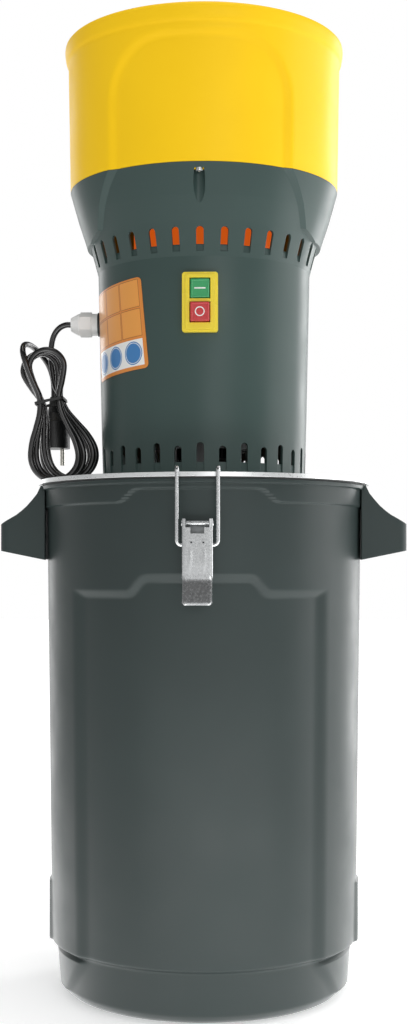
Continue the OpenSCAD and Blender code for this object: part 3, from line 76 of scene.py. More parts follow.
class MillSizes(bpy.types.PropertyGroup):
    """Sizes of the pieces that are modelled here, in metres."""

    panel_depth: bpy.props.FloatProperty(
        name="Panel depth",
        description="Depth of the sunk panels in the bucket's front and rear",
        default=4 * MM, min=1 * MM, max=6 * MM, unit="LENGTH",
    )
    arch_depth: bpy.props.FloatProperty(
        name="Arch depth",
        description="Depth of the sunk arches in the hopper's front and rear",
        default=4 * MM, min=1 * MM, max=5 * MM, unit="LENGTH",
    )
    edge_round: bpy.props.FloatProperty(
        name="Edge rounding",
        description="Radius of the rounded edges on moulded pieces",
        default=1.2 * MM, min=0.2 * MM, max=3 * MM, unit="LENGTH",
    )
    cord_diameter: bpy.props.FloatProperty(
        name="Cord diameter",
        description="Outer diameter of the power cord",
        default=6.5 * MM, min=5 * MM, max=7 * MM, unit="LENGTH",
    )
    label_side: bpy.props.FloatProperty(
        name="Label side",
        description="Width of the label on the motor housing",
        default=92 * MM, min=60 * MM, max=96 * MM, unit="LENGTH",
    )


class MillColours(bpy.types.PropertyGroup):
    """Colours of the mill's finishes, as sRGB hex values."""

    hopper: bpy.props.StringProperty(
        name="Hopper", description="Colour of the yellow hopper", default="FBCD1E"
    )
    housing: bpy.props.StringProperty(
        name="Housing", description="Colour of the motor housing", default="3C4E4B"
    )
    bucket: bpy.props.StringProperty(
        name="Bucket", description="Colour of the bucket and its handles", default="2F3938"
    )
    label: bpy.props.StringProperty(
        name="Label", description="Colour of the label's upper part", default="E88F38"
    )
    discs: bpy.props.StringProperty(
        name="Label discs", description="Colour of the label's discs", default="3C82C2"
    )
    cord: bpy.props.StringProperty(
        name="Cord", description="Colour of the power cord", default="171717"
    )


# ---------- materials ----------


def srgb(code):
    """The linear colour of an sRGB hex value."""
    parts = [int(code[i : i + 2], 16) / 255 for i in (0, 2, 4)]
    linear = [c / 12.92 if c <= 0.04045 else ((c + 0.055) / 1.055) ** 2.4 for c in parts]
    return (*linear, 1.0)


def node(tree, kind, inputs=None, **settings):
    """Adds one node, with its settings and with its inputs set or linked."""
    made = tree.nodes.new(kind)
    for key, value in settings.items():
        setattr(made, key, value)
    for key, value in (inputs or {}).items():
        if isinstance(value, bpy.types.NodeSocket):
            tree.links.new(value, made.inputs[key])
        else:
            made.inputs[key].default_value = value
    return made


def new_material(name):
    """An empty node material, its tree and its shader."""
    material = bpy.data.materials.new(name)
    material.use_nodes = True
    tree = material.node_tree
    shader = tree.nodes["Principled BSDF"]
    return material, tree, shader


def place(tree, stretch=(1, 1, 1)):
    """Object coordinates, stretched."""
    spot = node(tree, "ShaderNodeTexCoord").outputs["Object"]
    return node(tree, "ShaderNodeMapping", {"Vector": spot, "Scale": stretch}).outputs[0]


def shade_between(tree, factor, dark, light, low=0.3, high=0.7):
    """A colour between two, as a factor runs from low to high."""
    ramp = node(tree, "ShaderNodeValToRGB", {"Fac": factor})
    ramp.color_ramp.elements[0].position = low
    ramp.color_ramp.elements[0].color = dark
    ramp.color_ramp.elements[1].position = high
    ramp.color_ramp.elements[1].color = light
    return ramp.outputs["Color"]


def scaled(colour, factor):
    """A linear colour made lighter or darker."""
    return (*[min(1.0, c * factor) for c in colour[:3]], 1.0)


def edge_mask(tree, radius):
    """The rounded normal, and a mask that is 1 on edges sharper than the radius."""
    highlight_starts, highlight_full = 0.995, 0.9  # the cosine between the rounded and the flat normal
    rounded = node(tree, "ShaderNodeBevel", {"Radius": radius}, samples=6)
    flat = node(tree, "ShaderNodeNewGeometry")
    along = node(
        tree, "ShaderNodeVectorMath",
        {0: rounded.outputs[0], 1: flat.outputs["Normal"]}, operation="DOT_PRODUCT",
    )
    mask = node(
        tree, "ShaderNodeMapRange",
        {"Value": along.outputs["Value"], "From Min": highlight_starts, "From Max": highlight_full,
         "To Min": 0.0, "To Max": 1.0},
    )
    return rounded.outputs[0], mask.outputs[0]


def moulded(
    name, code, gloss, grain=2.2, relief=0.04, cloud=0.05, edge=0.10, round_edge=1.2 * MM,
    coat=0.0, shine=0.5, glow=None,
):
    """Moulded plastic: a faint cloud in the pigment, a fine mould texture and a painted edge
    highlight.

    grain is the mould texture's pitch in millimetres, coarser than the real one so that it shows.
    glow is the hex value and the strength of a painted glow, light the plastic gives of itself.
    edge is the share of the painted highlight, which makes the colour lighter on sharp edges.
    """
    cloud_scale, rub_scale, highlight_lighter = 7.0, 22.0, 2.2
    material, tree, shader = new_material(name)
    colour = srgb(code)
    at = place(tree)
    broad = node(
        tree, "ShaderNodeTexNoise",
        {"Vector": at, "Scale": cloud_scale, "Detail": 3.0, "Roughness": 0.55},
    )
    body = shade_between(
        tree, broad.outputs["Fac"], scaled(colour, 1 - cloud), scaled(colour, 1 + cloud)
    )
    normal, mask = edge_mask(tree, round_edge)
    # Sharp edges are painted lighter, as a highlight.
    highlight_share = node(tree, "ShaderNodeMath", {0: mask, 1: edge}, operation="MULTIPLY")
    highlighted = node(
        tree, "ShaderNodeMix",
        {"Factor": highlight_share.outputs[0], "A": body, "B": scaled(colour, highlight_lighter)},
        data_type="RGBA",
    )
    tree.links.new(highlighted.outputs["Result"], shader.inputs["Base Color"])
    fine = node(
        tree, "ShaderNodeTexNoise", {"Vector": at, "Scale": 1 / (grain * MM), "Detail": 2.0}
    )
    rub = node(tree, "ShaderNodeTexNoise", {"Vector": at, "Scale": rub_scale, "Detail": 4.0})
    rough = node(
        tree, "ShaderNodeMapRange",
        {"Value": rub.outputs["Fac"], "From Min": 0.3, "From Max": 0.7,
         "To Min": gloss - 0.04, "To Max": gloss + 0.05},
    )
    tree.links.new(rough.outputs[0], shader.inputs["Roughness"])
    bump = node(
        tree, "ShaderNodeBump",
        {"Height": fine.outputs["Fac"], "Strength": relief, "Distance": 0.4 * MM,
         "Normal": normal},
    )
    tree.links.new(bump.outputs[0], shader.inputs["Normal"])
    shader.inputs["IOR"].default_value = 1.5
    shader.inputs["Specular IOR Level"].default_value = shine
    if coat:
        shader.inputs["Coat Weight"].default_value = coat
        shader.inputs["Coat Roughness"].default_value = 0.12
    if glow:
        shader.inputs["Emission Color"].default_value = srgb(glow[0])
        shader.inputs["Emission Strength"].default_value = glow[1]
    return material


def bare_metal(
    name, code, gloss, pitch=1.5, stretch=(1, 1, 1), relief=0.05, spread=0.08,
    round_edge=0.4 * MM,
):
    """Bare or plated metal: brushed or tumbled marks, drawn out where stretch says so.

    pitch is the marks' pitch in millimetres, coarser than the real one so that it shows.
    """
    tarnish_scale = 30.0
    material, tree, shader = new_material(name)
    colour = srgb(code)
    at = place(tree, stretch)
    marks = node(
        tree, "ShaderNodeTexNoise", {"Vector": at, "Scale": 1 / (pitch * MM), "Detail": 3.0}
    )
    broad = node(
        tree, "ShaderNodeTexNoise",
        {"Vector": place(tree), "Scale": tarnish_scale, "Detail": 2.0},
    )
    tree.links.new(
        shade_between(
            tree, broad.outputs["Fac"], scaled(colour, 1 - spread), scaled(colour, 1 + spread)
        ),
        shader.inputs["Base Color"],
    )
    rough = node(
        tree, "ShaderNodeMapRange",
        {"Value": marks.outputs["Fac"], "From Min": 0.3, "From Max": 0.7,
         "To Min": gloss - 0.05, "To Max": gloss + 0.08},
    )
    tree.links.new(rough.outputs[0], shader.inputs["Roughness"])
    normal, _ = edge_mask(tree, round_edge)
    bump = node(
        tree, "ShaderNodeBump",
        {"Height": marks.outputs["Fac"], "Strength": relief, "Distance": 0.2 * MM,
         "Normal": normal},
    )
    tree.links.new(bump.outputs[0], shader.inputs["Normal"])
    shader.inputs["Metallic"].default_value = 1.0
    return material


def banded(name, dark, light, pitch, along, gloss, metallic, relief=0.3):
    """Bands of about one pitch in millimetres: stacked sheets, or wires wound side by side."""
    scale_of_a_metre = 1 / 3.1416  # a wave texture of this scale has about one band a metre
    material, tree, shader = new_material(name)
    bands = node(
        tree, "ShaderNodeTexWave",
        {"Vector": place(tree), "Scale": scale_of_a_metre / (pitch * MM), "Distortion": 0.25,
         "Detail": 1.0, "Detail Scale": 3.0},
        wave_type="BANDS", bands_direction=along, wave_profile="SIN",
    )
    tree.links.new(
        shade_between(tree, bands.outputs["Fac"], srgb(dark), srgb(light), 0.15, 0.85),
        shader.inputs["Base Color"],
    )
    bump = node(
        tree, "ShaderNodeBump",
        {"Height": bands.outputs["Fac"], "Strength": relief, "Distance": 0.5 * MM},
    )
    tree.links.new(bump.outputs[0], shader.inputs["Normal"])
    shader.inputs["Roughness"].default_value = gloss
    shader.inputs["Metallic"].default_value = metallic
    return material


def finishes():
    """The mill's materials, made once and found again by name."""
    if BUCKET_GREEN in bpy.data.materials:
        return bpy.data.materials
    tint = bpy.context.scene.mill_colours
    soft = bpy.context.scene.mill_sizes.edge_round
    # Polypropylene, injection moulded: satin, so that white surroundings wash its sides pale.
    moulded(
        BUCKET_GREEN, tint.bucket, 0.4, grain=2.6, relief=0.05, cloud=0.06, edge=0.16,
        round_edge=soft, shine=0.28,
    )
    # The same plastic from a slightly duller mould face, so the handles look drier.
    moulded(
        "Moulded polypropylene, handle green", tint.bucket, 0.44, grain=2.6, relief=0.06,
        edge=0.2, round_edge=soft, shine=0.28,
    )
    # ABS from a finer mould, so the housing's sheen is narrower.
    moulded(
        "Moulded ABS, housing green", tint.housing, 0.36, grain=2.0, relief=0.04, cloud=0.05,
        edge=0.14, round_edge=0.8 * MM, shine=0.28,
    )
    # Half gloss. Light that passes the yellow wall is given as a faint glow, so that the
    # shadow side stays yellow.
    moulded(
        HOPPER_YELLOW, tint.hopper, 0.42, grain=3.0, relief=0.03, cloud=0.04, edge=0.05,
        round_edge=soft, shine=0.15, glow=("FFC800", 0.16),
    )
    # Its thin wall lets the daylight in the hopper through. The orange colour and the glow are
    # painted light for that, so it shows bright behind the slots.
    moulded(
        "Moulded polypropylene, funnel in painted glow", "E8641A", 0.45, cloud=0.03, edge=0.05,
        glow=("E8641A", 0.55),
    )
    # ABS from polished moulds: the switch has small, hard lights on its rounded edges, from its
    # coat and from a painted highlight.
    polished = {"grain": 1.5, "relief": 0.02, "cloud": 0.02}
    moulded(
        "Moulded ABS, switch yellow", "F3DA2C", 0.28, edge=0.25, round_edge=0.7 * MM,
        coat=0.25, **polished,
    )
    for name, code in ((START_GREEN, "2E9E5E"), (STOP_RED, "C62F33")):
        moulded(name, code, 0.25, edge=0.3, round_edge=0.8 * MM, coat=0.3, **polished)
    # Nylon: milky white with a dull shine.
    moulded(
        "Moulded nylon, gland white", "FFFFFC", 0.4, grain=1.5, relief=0.03, cloud=0.02,
        edge=0.1, round_edge=0.6 * MM,
    )
    # Plain black plastic gets grey edges as a painted highlight, and rubber, with a fainter one,
    # stays dull and even all over.
    moulded(
        "Moulded plastic, black", "1B1C1C", 0.42, grain=1.5, relief=0.05, edge=0.15,
        round_edge=0.5 * MM,
    )
    moulded(
        "Moulded rubber, black", "1E1F1F", 0.6, grain=1.5, relief=0.08, edge=0.08,
        round_edge=0.4 * MM,
    )
    # White ink: flat and even.
    moulded(MARK_WHITE, "F2F2EE", 0.4, cloud=0.02, edge=0.0, round_edge=0.1 * MM)
    # Bright zinc plate: clear highlights with a faint tumbled grain.
    bare_metal(ZINC, "C2C4C5", 0.22, pitch=2.0, relief=0.015)
    # The latch bases are the same zinc plated steel, duller and darker as painted shade, so the
    # lever stands out from its base.
    bare_metal("Zinc plated steel, painted shade", "7E8182", 0.35, pitch=2.0, relief=0.03)
    # The lid's sheet is bright and rolled, so it mirrors the white surroundings softly.
    bare_metal(
        "Rolled sheet steel", "DCDEDE", 0.3, pitch=1.6, stretch=(0.15, 1, 1), relief=0.02,
        spread=0.02,
    )
    # Ground steel has fine marks along the shaft; the casting is grey and grainy.
    bare_metal("Ground steel", "B9BCBE", 0.22, pitch=1.2, stretch=(1, 1, 0.12), relief=0.05)
    bare_metal("Die cast aluminium", "9CA1A3", 0.45, pitch=2.4, relief=0.14)
    # Brass is warm and bright, and its nickel plate paler and cooler.
    bare_metal("Pressed brass", "C79B4B", 0.28, pitch=1.6)
    bare_metal("Nickel plated brass", "CFCDC4", 0.2, pitch=1.6)
    # Carbon is a near black, grainy block.
    moulded(
        "Pressed carbon", "2A2B2D", 0.5, grain=1.0, relief=0.12, edge=0.1, round_edge=0.3 * MM
    )
    # Electrical sheet, stacked 0.5 mm a sheet, drawn 1.5 mm so that the stack shows.
    banded("Stacked electrical sheet", "55585A", "8B8F91", 1.5, "Z", 0.4, 0.8)
    # Enamelled wire of 0.8 mm, drawn 1.6 mm so that the turns show.
    banded("Enamelled copper wire", "7C3818", "C87440", 1.6, "Z", 0.3, 0.7, relief=0.5)
    # Bright copper bars with dark lines of mica between them.
    banded("Copper bars with mica", "6B3B20", "C98150", 3.0, "X", 0.3, 0.8)
    return bpy.data.materials


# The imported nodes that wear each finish, those among them that a piece stands for too.
NODE_FINISH = {
    BUCKET_GREEN: ["bucket"],
    "Moulded polypropylene, handle green": ["left_handle", "right_handle"],
    "Moulded ABS, housing green": ["motor_housing"],
    HOPPER_YELLOW: ["hopper", "gate_guides"],
    # The funnel's orange colour and glow are painted light.
    "Moulded polypropylene, funnel in painted glow": ["feed_funnel"],
    "Moulded ABS, switch yellow": ["switch_frame"],
    START_GREEN: ["start_button"],
    STOP_RED: ["stop_button"],
    "Moulded nylon, gland white": ["gland_body", "gland_nut", "gland_locknut"],
    "Moulded plastic, black": ["feed_gate", "switch_body", "cord_tie", "power_plug", "cooling_fan"],
    "Moulded rubber, black": ["lid_seal", "gland_washer"],
    ZINC: [
        "front_latch_lever", "front_latch_pin", "front_bail",
        "rear_latch_lever", "rear_latch_pin", "rear_bail",
        "lid_screws", "housing_screws", "motor_bolts", "blade_nut", "sieve_ring",
        "chamber_floor", "chamber_studs", "chamber_nuts",
    ],
    # Bases in shadow behind the lever's window, drawn darker as painted shade.
    "Zinc plated steel, painted shade": ["front_latch_base", "rear_latch_base"],
    "Rolled sheet steel": ["lid_plate", "feed_chute"],
    "Ground steel": ["motor_shaft", "lower_bearing", "upper_bearing", "cutter_blade"],
    "Die cast aluminium": ["lower_bracket", "upper_bracket", "blade_hub"],
    "Pressed brass": ["brush_holders"],
    "Nickel plated brass": ["plug_pins"],
    "Pressed carbon": ["carbon_brushes"],
    "Stacked electrical sheet": ["stator_core", "armature_core"],
    "Enamelled copper wire": ["field_coils", "armature_winding"],
    "Copper bars with mica": ["commutator"],
}


# ---------- shaping ----------


def smooth_step(t):
    """0 to 1 with a soft start and a soft end."""
    t = min(1.0, max(0.0, t))
    return t * t * (3 - 2 * t)


def turned(profile, steps=300):
    """A closed mesh turned about Z from (radius, height) pairs in millimetres."""
    bm = bmesh.new()
    verts = [bm.verts.new((r * MM, 0, z * MM)) for r, z in profile]
    edges = [bm.edges.new(pair) for pair in zip(verts, verts[1:])]
    bmesh.ops.spin(
        bm, geom=verts + edges, cent=(0, 0, 0), axis=(0, 0, 1), angle=math.tau,
        steps=steps, use_merge=True,
    )
    bmesh.ops.remove_doubles(bm, verts=bm.verts, dist=1e-6)
    bmesh.ops.recalc_face_normals(bm, faces=bm.faces)
    return bm


def piece(name, bm, body, finish, replaced=(), sharp=35):
    """Turns a bmesh into a piece that rides on a body and stands for CAD nodes."""
    mesh = bpy.data.meshes.new(name)
    bm.to_mesh(mesh)
    bm.free()
    mesh.polygons.foreach_set("use_smooth", [True] * len(mesh.polygons))
    mesh.set_sharp_from_angle(angle=math.radians(sharp))
    mesh.materials.append(finishes()[finish])
    made = bpy.data.objects.new(name, mesh)
    bpy.context.scene.collection.objects.link(made)
    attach(made, body)
    if replaced:
        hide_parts(*replaced)
    return made


def spaced(points, gap):
    """(radius, height) pairs with more put between them, at most a gap in millimetres apart."""
    rows = [points[0]]
    for (r, z), (next_r, next_z) in zip(points, points[1:]):
        count = max(1, math.ceil(math.dist((r, z), (next_r, next_z)) / gap))
        for i in range(1, count + 1):
            rows.append((r + (next_r - r) * i / count, z + (next_z - z) * i / count))
    return rows


def push_out(bm, change):
    """Moves each vertex along its radius by what change gives, in millimetres.

    change gets the angle in degrees from the nearer of front and rear, the height, the radius and
    the distance from the middle plane, all in millimetres.
    """
    on_axis = 1e-4
    for v in bm.verts:
        radius = math.hypot(v.co.x, v.co.y)
        if radius < on_axis:
            continue
        angle = math.degrees(math.atan2(abs(v.co.x), abs(v.co.y)))
        moved = change(angle, v.co.z / MM, radius / MM, abs(v.co.y) / MM)
        if moved:
            factor = 1 + moved * MM / radius
            v.co.x *= factor
            v.co.y *= factor


# ---------- bucket ----------


SEAM_Z, SEAM_R = 57, 166  # where the bucket widens above the band that it stands on
BODY_TALL, BODY_FLARE = 484.5, 5.5
BAND_TOP = 53
COLLAR_LOW, RIM_LOW = 500, 541
PAD_TOP, PAD_R, PAD_HALF = 124, 169, 35.2

# (radius, height) pairs of the bucket's wall, in millimetres, from the middle of its floor out,
# up to the rim, over it and down the inside.
FOOT = [(0, 0), (60, 0), (110, 0), (138, 0), (143.5, 0.7), (147.6, 2.6), (151, 5.6), (153.4, 9.2)]
BAND = [(154.6, 11.2), (156.3, 51.5)]
SEAM = [(156.6, 52.6), (158, 53.7), (162, 55.6), (164.6, 56.6), (165.6, 57.3), (166, 58.4)]
RIM = [
    (173.7, 541.2), (176.8, 541.4), (177.6, 541.9), (177.8, 542.8), (177.8, 544.8),
    (177.4, 545.7), (176.6, 546), (169.6, 546), (168.8, 545.8), (168.3, 545.2),
]
INNER_FLOOR = [
    (162.3, 60.4), (153.5, 56.4), (153.2, 54), (149.5, 16), (147, 8.5), (142, 4.4), (137, 3.2),
    (70, 3.2), (0, 3.2),
]
# The body's rows: from one height to another, and the gap between rows, finest at the slopes.
BODY_ROWS = ((60, 124, 2.6), (125, 415, 7.5), (416, 456, 1.35), (458, 518, 7.0), (519, 540.4, 0.9))


def body_radius(z):
    """The bucket's outer radius between the seam and the rim."""
    return SEAM_R + BODY_FLARE * (z - SEAM_Z) / BODY_TALL


def panel_share(angle, z):
    """How far a spot of the bucket is sunk: 1 on the panel's floor and 0 outside its slopes."""
    half_angle, side_slope = 50, 5
    middle_top, drop, drop_from, drop_over, top_slope = 443, 16, 18, 7, 8.6
    top = middle_top - drop * smooth_step((angle - drop_from) / drop_over)
    side = (half_angle - angle) / side_slope
    height = (top + top_slope - z) / top_slope
    share = min(1.0, max(0.0, min(side, height)))
    return 0.7 * share + 0.3 * smooth_step(share)


def band_pad(angle, z):
    """How far the band's pads on the left and right stand out, between their leaning edges."""
    top, tall, top_angle, lean, low, high = 50, 40, 48, 15, 9, 52.5
    edge = top_angle + (top - z) / tall * lean
    share = smooth_step((angle - edge + 2) / 7)
    share *= smooth_step((z - low) / 2)
    share *= smooth_step((high - z) / 5)
    return share * (2.4 + 1.2 * (z - 11) / 33)


def collar_ramp(angle, z):
    """How far the collar below the rim stands out; it starts higher at front and rear."""
    side_low, lift, lift_from, lift_over, proud = 523, 13.4, 20.5, 7.5, 2.2
    low = side_low + lift * (1 - smooth_step((angle - lift_from) / lift_over))
    return proud * smooth_step((z - low + 0.8) / 1.6)


def bucket_change(angle, z, radius, off):
    """The bucket's sunk panels, collar ramps, band pads and side pads."""
    depth = bpy.context.scene.mill_sizes.panel_depth / MM
    sunk = -depth * panel_share(angle, z)
    shelf_z, shelf_from, shelf_wide = 57.1, 156.5, 9.5
    if z > RIM_LOW or z < BAND_TOP and radius < 150:
        return 0.0
    if z < BAND_TOP:
        return band_pad(angle, z) if radius > 154 else 0.0
    if radius < body_radius(z) - 2 and z > shelf_z:
        return sunk
    if z < shelf_z:
        return sunk * max(0.0, radius - shelf_from) / shelf_wide
    if z > COLLAR_LOW:
        return collar_ramp(angle, z)
    if z < PAD_TOP and angle > 60:
        proud = (PAD_R - body_radius(z)) * smooth_step((PAD_HALF - off) / 1.6)
        return proud * smooth_step((PAD_TOP - 1 - z) / 4)
    return sunk


class MILL_OT_bucket(bpy.types.Operator):
    """Models the bucket's moulded shell with its sunk panels and soft edges."""

    bl_idname = "mill.bucket"
    bl_label = "Bucket"

    def execute(self, context):
        wall = 3.2
        profile = FOOT + spaced(BAND, 2.0) + SEAM
        for low, high, gap in BODY_ROWS:
            profile += spaced([(body_radius(low), low), (body_radius(high), high)], gap)
        inner = spaced([(body_radius(541) - wall, 541), (body_radius(62) - wall, 62)], 9.0)
        bm = turned(profile + RIM + inner + INNER_FLOOR)
        push_out(bm, bucket_change)
        piece("bucket_shell", bm, "base", BUCKET_GREEN, ["bucket"], 32)
        return {"FINISHED"}


# ---------- hopper ----------


HOPPER_LIP = [
    (148.7, 1005.6), (149.3, 1006.6), (150.0, 1007.6), (150.6, 1009.2), (151.2, 1012),
    (151.7, 1015.5), (151.9, 1018.5), (151.7, 1021), (151.2, 1022.9), (150.2, 1024),
    (148.9, HOPPER_TOP / MM), (147.4, 1024.2), (146.3, 1023.4), (145.7, 1022),
]


def arch_share(angle, z):
    """How far a spot of the hopper is sunk: 1 on the arch's floor and 0 outside its slope."""
    half, corner, top, wall_r, slope = 101.0, 66.0, 1000.0, 144.0, 9.0
    across = math.radians(angle) * wall_r - (half - corner)
    above = z - (top - corner)
    if across > 0 and above > 0:
        inside = corner - math.hypot(across, above)
    else:
        inside = min(corner - across, corner - above)
    return smooth_step(inside / slope)


class MILL_OT_hopper(bpy.types.Operator):
    """Models the hopper's moulded wall with its sunk arches and rolled lip, and its floor."""

    bl_idname = "mill.hopper"
    bl_label = "Hopper"

    def execute(self, context):
        depth = context.scene.mill_sizes.arch_depth / MM
        low, top = MOUTH / MM, HOPPER_TOP / MM
        floor_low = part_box("feed_funnel")[1].z / MM
        spigot_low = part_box("hopper")[0].z / MM
        foot_r, flare, sheet, lip_low = 146, 2.6, 3, 1004
        port_r, floor_r = 24, 79

        def wall(z):
            return foot_r + flare * (z - low) / (top - low)

        def sink(angle, z, radius, off):
            on_wall = radius > 140.5 and low < z < lip_low - 1
            return -depth * arch_share(angle, z) if on_wall else 0.0

        under = [
            (floor_r, floor_low), (81, floor_low), (135.9, 890), (136.5, 889.6),
            (136.5, spigot_low), (138.9, spigot_low), (138.9, low),
        ]
        outer = (
            [(145.4, low + 0.05), (foot_r, low + 0.7)]
            + spaced([(wall(low + 2), low + 2), (wall(lip_low), lip_low)], 2.4)
            + HOPPER_LIP
        )
        inner = (
            spaced([(wall(1020) - sheet, 1020), (wall(905) - sheet, 905)], 4.0)
            + spaced([(139.6, 899), (floor_r, 873)], 9.0)
        )
        bm = turned(under + outer + inner + under[:1])
        push_out(bm, sink)
        piece("hopper_shell", bm, "head", HOPPER_YELLOW, ["hopper"], 32)

        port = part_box("feed_gate")
        port_at = Matrix.Translation((0, (port[0].y + port[1].y) / 2, 0))
        plate = bmesh.new()
        rim = bmesh.ops.create_circle(plate, segments=96, radius=(floor_r + 0.2) * MM)["verts"]
        hole = bmesh.ops.create_circle(
            plate, segments=96, radius=port_r * MM, matrix=port_at
        )["verts"]
        edges = [
            e for e in plate.edges
            if all(v in rim for v in e.verts) or all(v in hole for v in e.verts)
        ]
        bmesh.ops.bridge_loops(plate, edges=edges)
        raised = bmesh.ops.extrude_face_region(plate, geom=plate.faces[:])["geom"]
        raised = [g for g in raised if isinstance(g, bmesh.types.BMVert)]
        bmesh.ops.translate(plate, vec=(0, 0, sheet * MM), verts=raised)
        bmesh.ops.translate(plate, vec=(0, 0, floor_low * MM), verts=plate.verts)
        bmesh.ops.recalc_face_normals(plate, faces=plate.faces)
        piece("hopper_floor", plate, "head", HOPPER_YELLOW, (), 32)
        return {"FINISHED"}


# ---------- latches ----------


def lever_mesh(front):
    """A pressed lever: a ribbed web, notched for its pin, two side walls and a finger tab."""
    half, corner, depth, sheet = 14.1, 1.3, 10.0, 1.15
    top, bend_at, length = 505.8, 58.0, 85.5
    face = 186.5
    across, rows = 56, 100
    notch_half, notch_low, window_half, window_low = 11.8, 8.4, 6.6, 14.8
    hole_at, hole_down, hole_square = 6.1, 23, 0.8
    rib_at, rib_wide, rib_from, rib_to, rib_fade, rib_high = 7, 1.2, 26, 55, 12, 0.35
    tab_edge, tab_dip, round_off = 1.3, 0.5, 5.0
    arc = corner * math.pi / 2
    web = half - corner
    reach = web + arc + depth - corner

    bend, lean = 9.0, math.radians(18.5)
    line, y, z = [], -face, top
    for row in range(rows + 1):
        along = length * row / rows
        line.append((along, y, z))
        tilt = lean * smooth_step((along - bend_at + bend / 2) / bend)
        y -= math.sin(tilt) * length / rows
        z -= math.cos(tilt) * length / rows

    bm = bmesh.new()
    bmesh.ops.create_grid(bm, x_segments=across, y_segments=rows, size=0.5)
    spot = {v: (v.co.x * 2 * reach, round((0.5 - v.co.y) * rows)) for v in bm.verts}
    gone = []
    for f in bm.faces:
        wide = abs(sum(spot[v][0] for v in f.verts) / 4)
        down = sum(line[spot[v][1]][0] for v in f.verts) / 4
        notch = wide < notch_half and down < notch_low
        window = wide < window_half and down < window_low
        hole = (wide - hole_at) ** 2 + (down - hole_down) ** 2 < hole_square
        if notch or window or hole or (down > bend_at and wide > web + arc):
            gone.append(f)
    bmesh.ops.delete(bm, geom=gone, context="FACES")
    for v in bm.verts:
        wide, row = spot[v]
        along, y, z = line[row]
        side = 1 if wide > 0 else -1
        far = abs(wide)
        if far <= web:
            x, back = far, 0.0
        elif far <= web + arc:
            turn = (far - web) / corner
            x, back = web + corner * math.sin(turn), corner * (1 - math.cos(turn))
        else:
            x, back = half, corner + far - web - arc
        flat = smooth_step((along - bend_at + 3) / 3)
        x += (min(half, far * half / (web + arc)) - x) * flat
        back *= 1 - flat
        rib = math.exp(-(((far - rib_at) / rib_wide) ** 2))
        rib *= smooth_step((along - rib_from) / rib_fade)
        rib *= smooth_step((rib_to - along) / rib_fade)
        border = min(half - x, length - along)
        proud = rib_high * rib - tab_dip * flat * (1 - smooth_step(border / tab_edge))
        beyond_x, beyond = x - (half - round_off), along - (length - round_off)
        if beyond_x > 0 and beyond > 0:
            away = math.hypot(beyond_x, beyond)
            if away > round_off:
                x = half - round_off + beyond_x * round_off / away
                pull = beyond * (1 - round_off / away)
                z += pull * math.cos(lean)
                y += pull * math.sin(lean)
        v.co = Vector((side * x, y + back - proud, z)) * MM
    bmesh.ops.recalc_face_normals(bm, faces=bm.faces)
    outside = Vector((0, -face, 470)) * MM
    middle = min(bm.faces, key=lambda f: (f.calc_center_median() - outside).length)
    if middle.normal.y > 0:
        bmesh.ops.reverse_faces(bm, faces=bm.faces)
    bmesh.ops.solidify(bm, geom=bm.faces[:], thickness=-sheet * MM)
    bmesh.ops.recalc_face_normals(bm, faces=bm.faces)
    if not front:
        half_turn = Matrix.Rotation(math.pi, 3, "Z")
        bmesh.ops.rotate(bm, cent=(0, 0, 0), matrix=half_turn, verts=bm.verts)
    return bm


class MILL_OT_latches(bpy.types.Operator):
    """Models the pressed levers of the front and rear latches."""

    bl_idname = "mill.latches"
    bl_label = "Latch levers"

    def execute(self, context):
        for end in ("front", "rear"):
            piece(
                f"{end}_pressed_lever", lever_mesh(end == "front"), f"{end}_lever",
                ZINC, [f"{end}_latch_lever"], 40,
            )
        return {"FINISHED"}


# ---------- label ----------


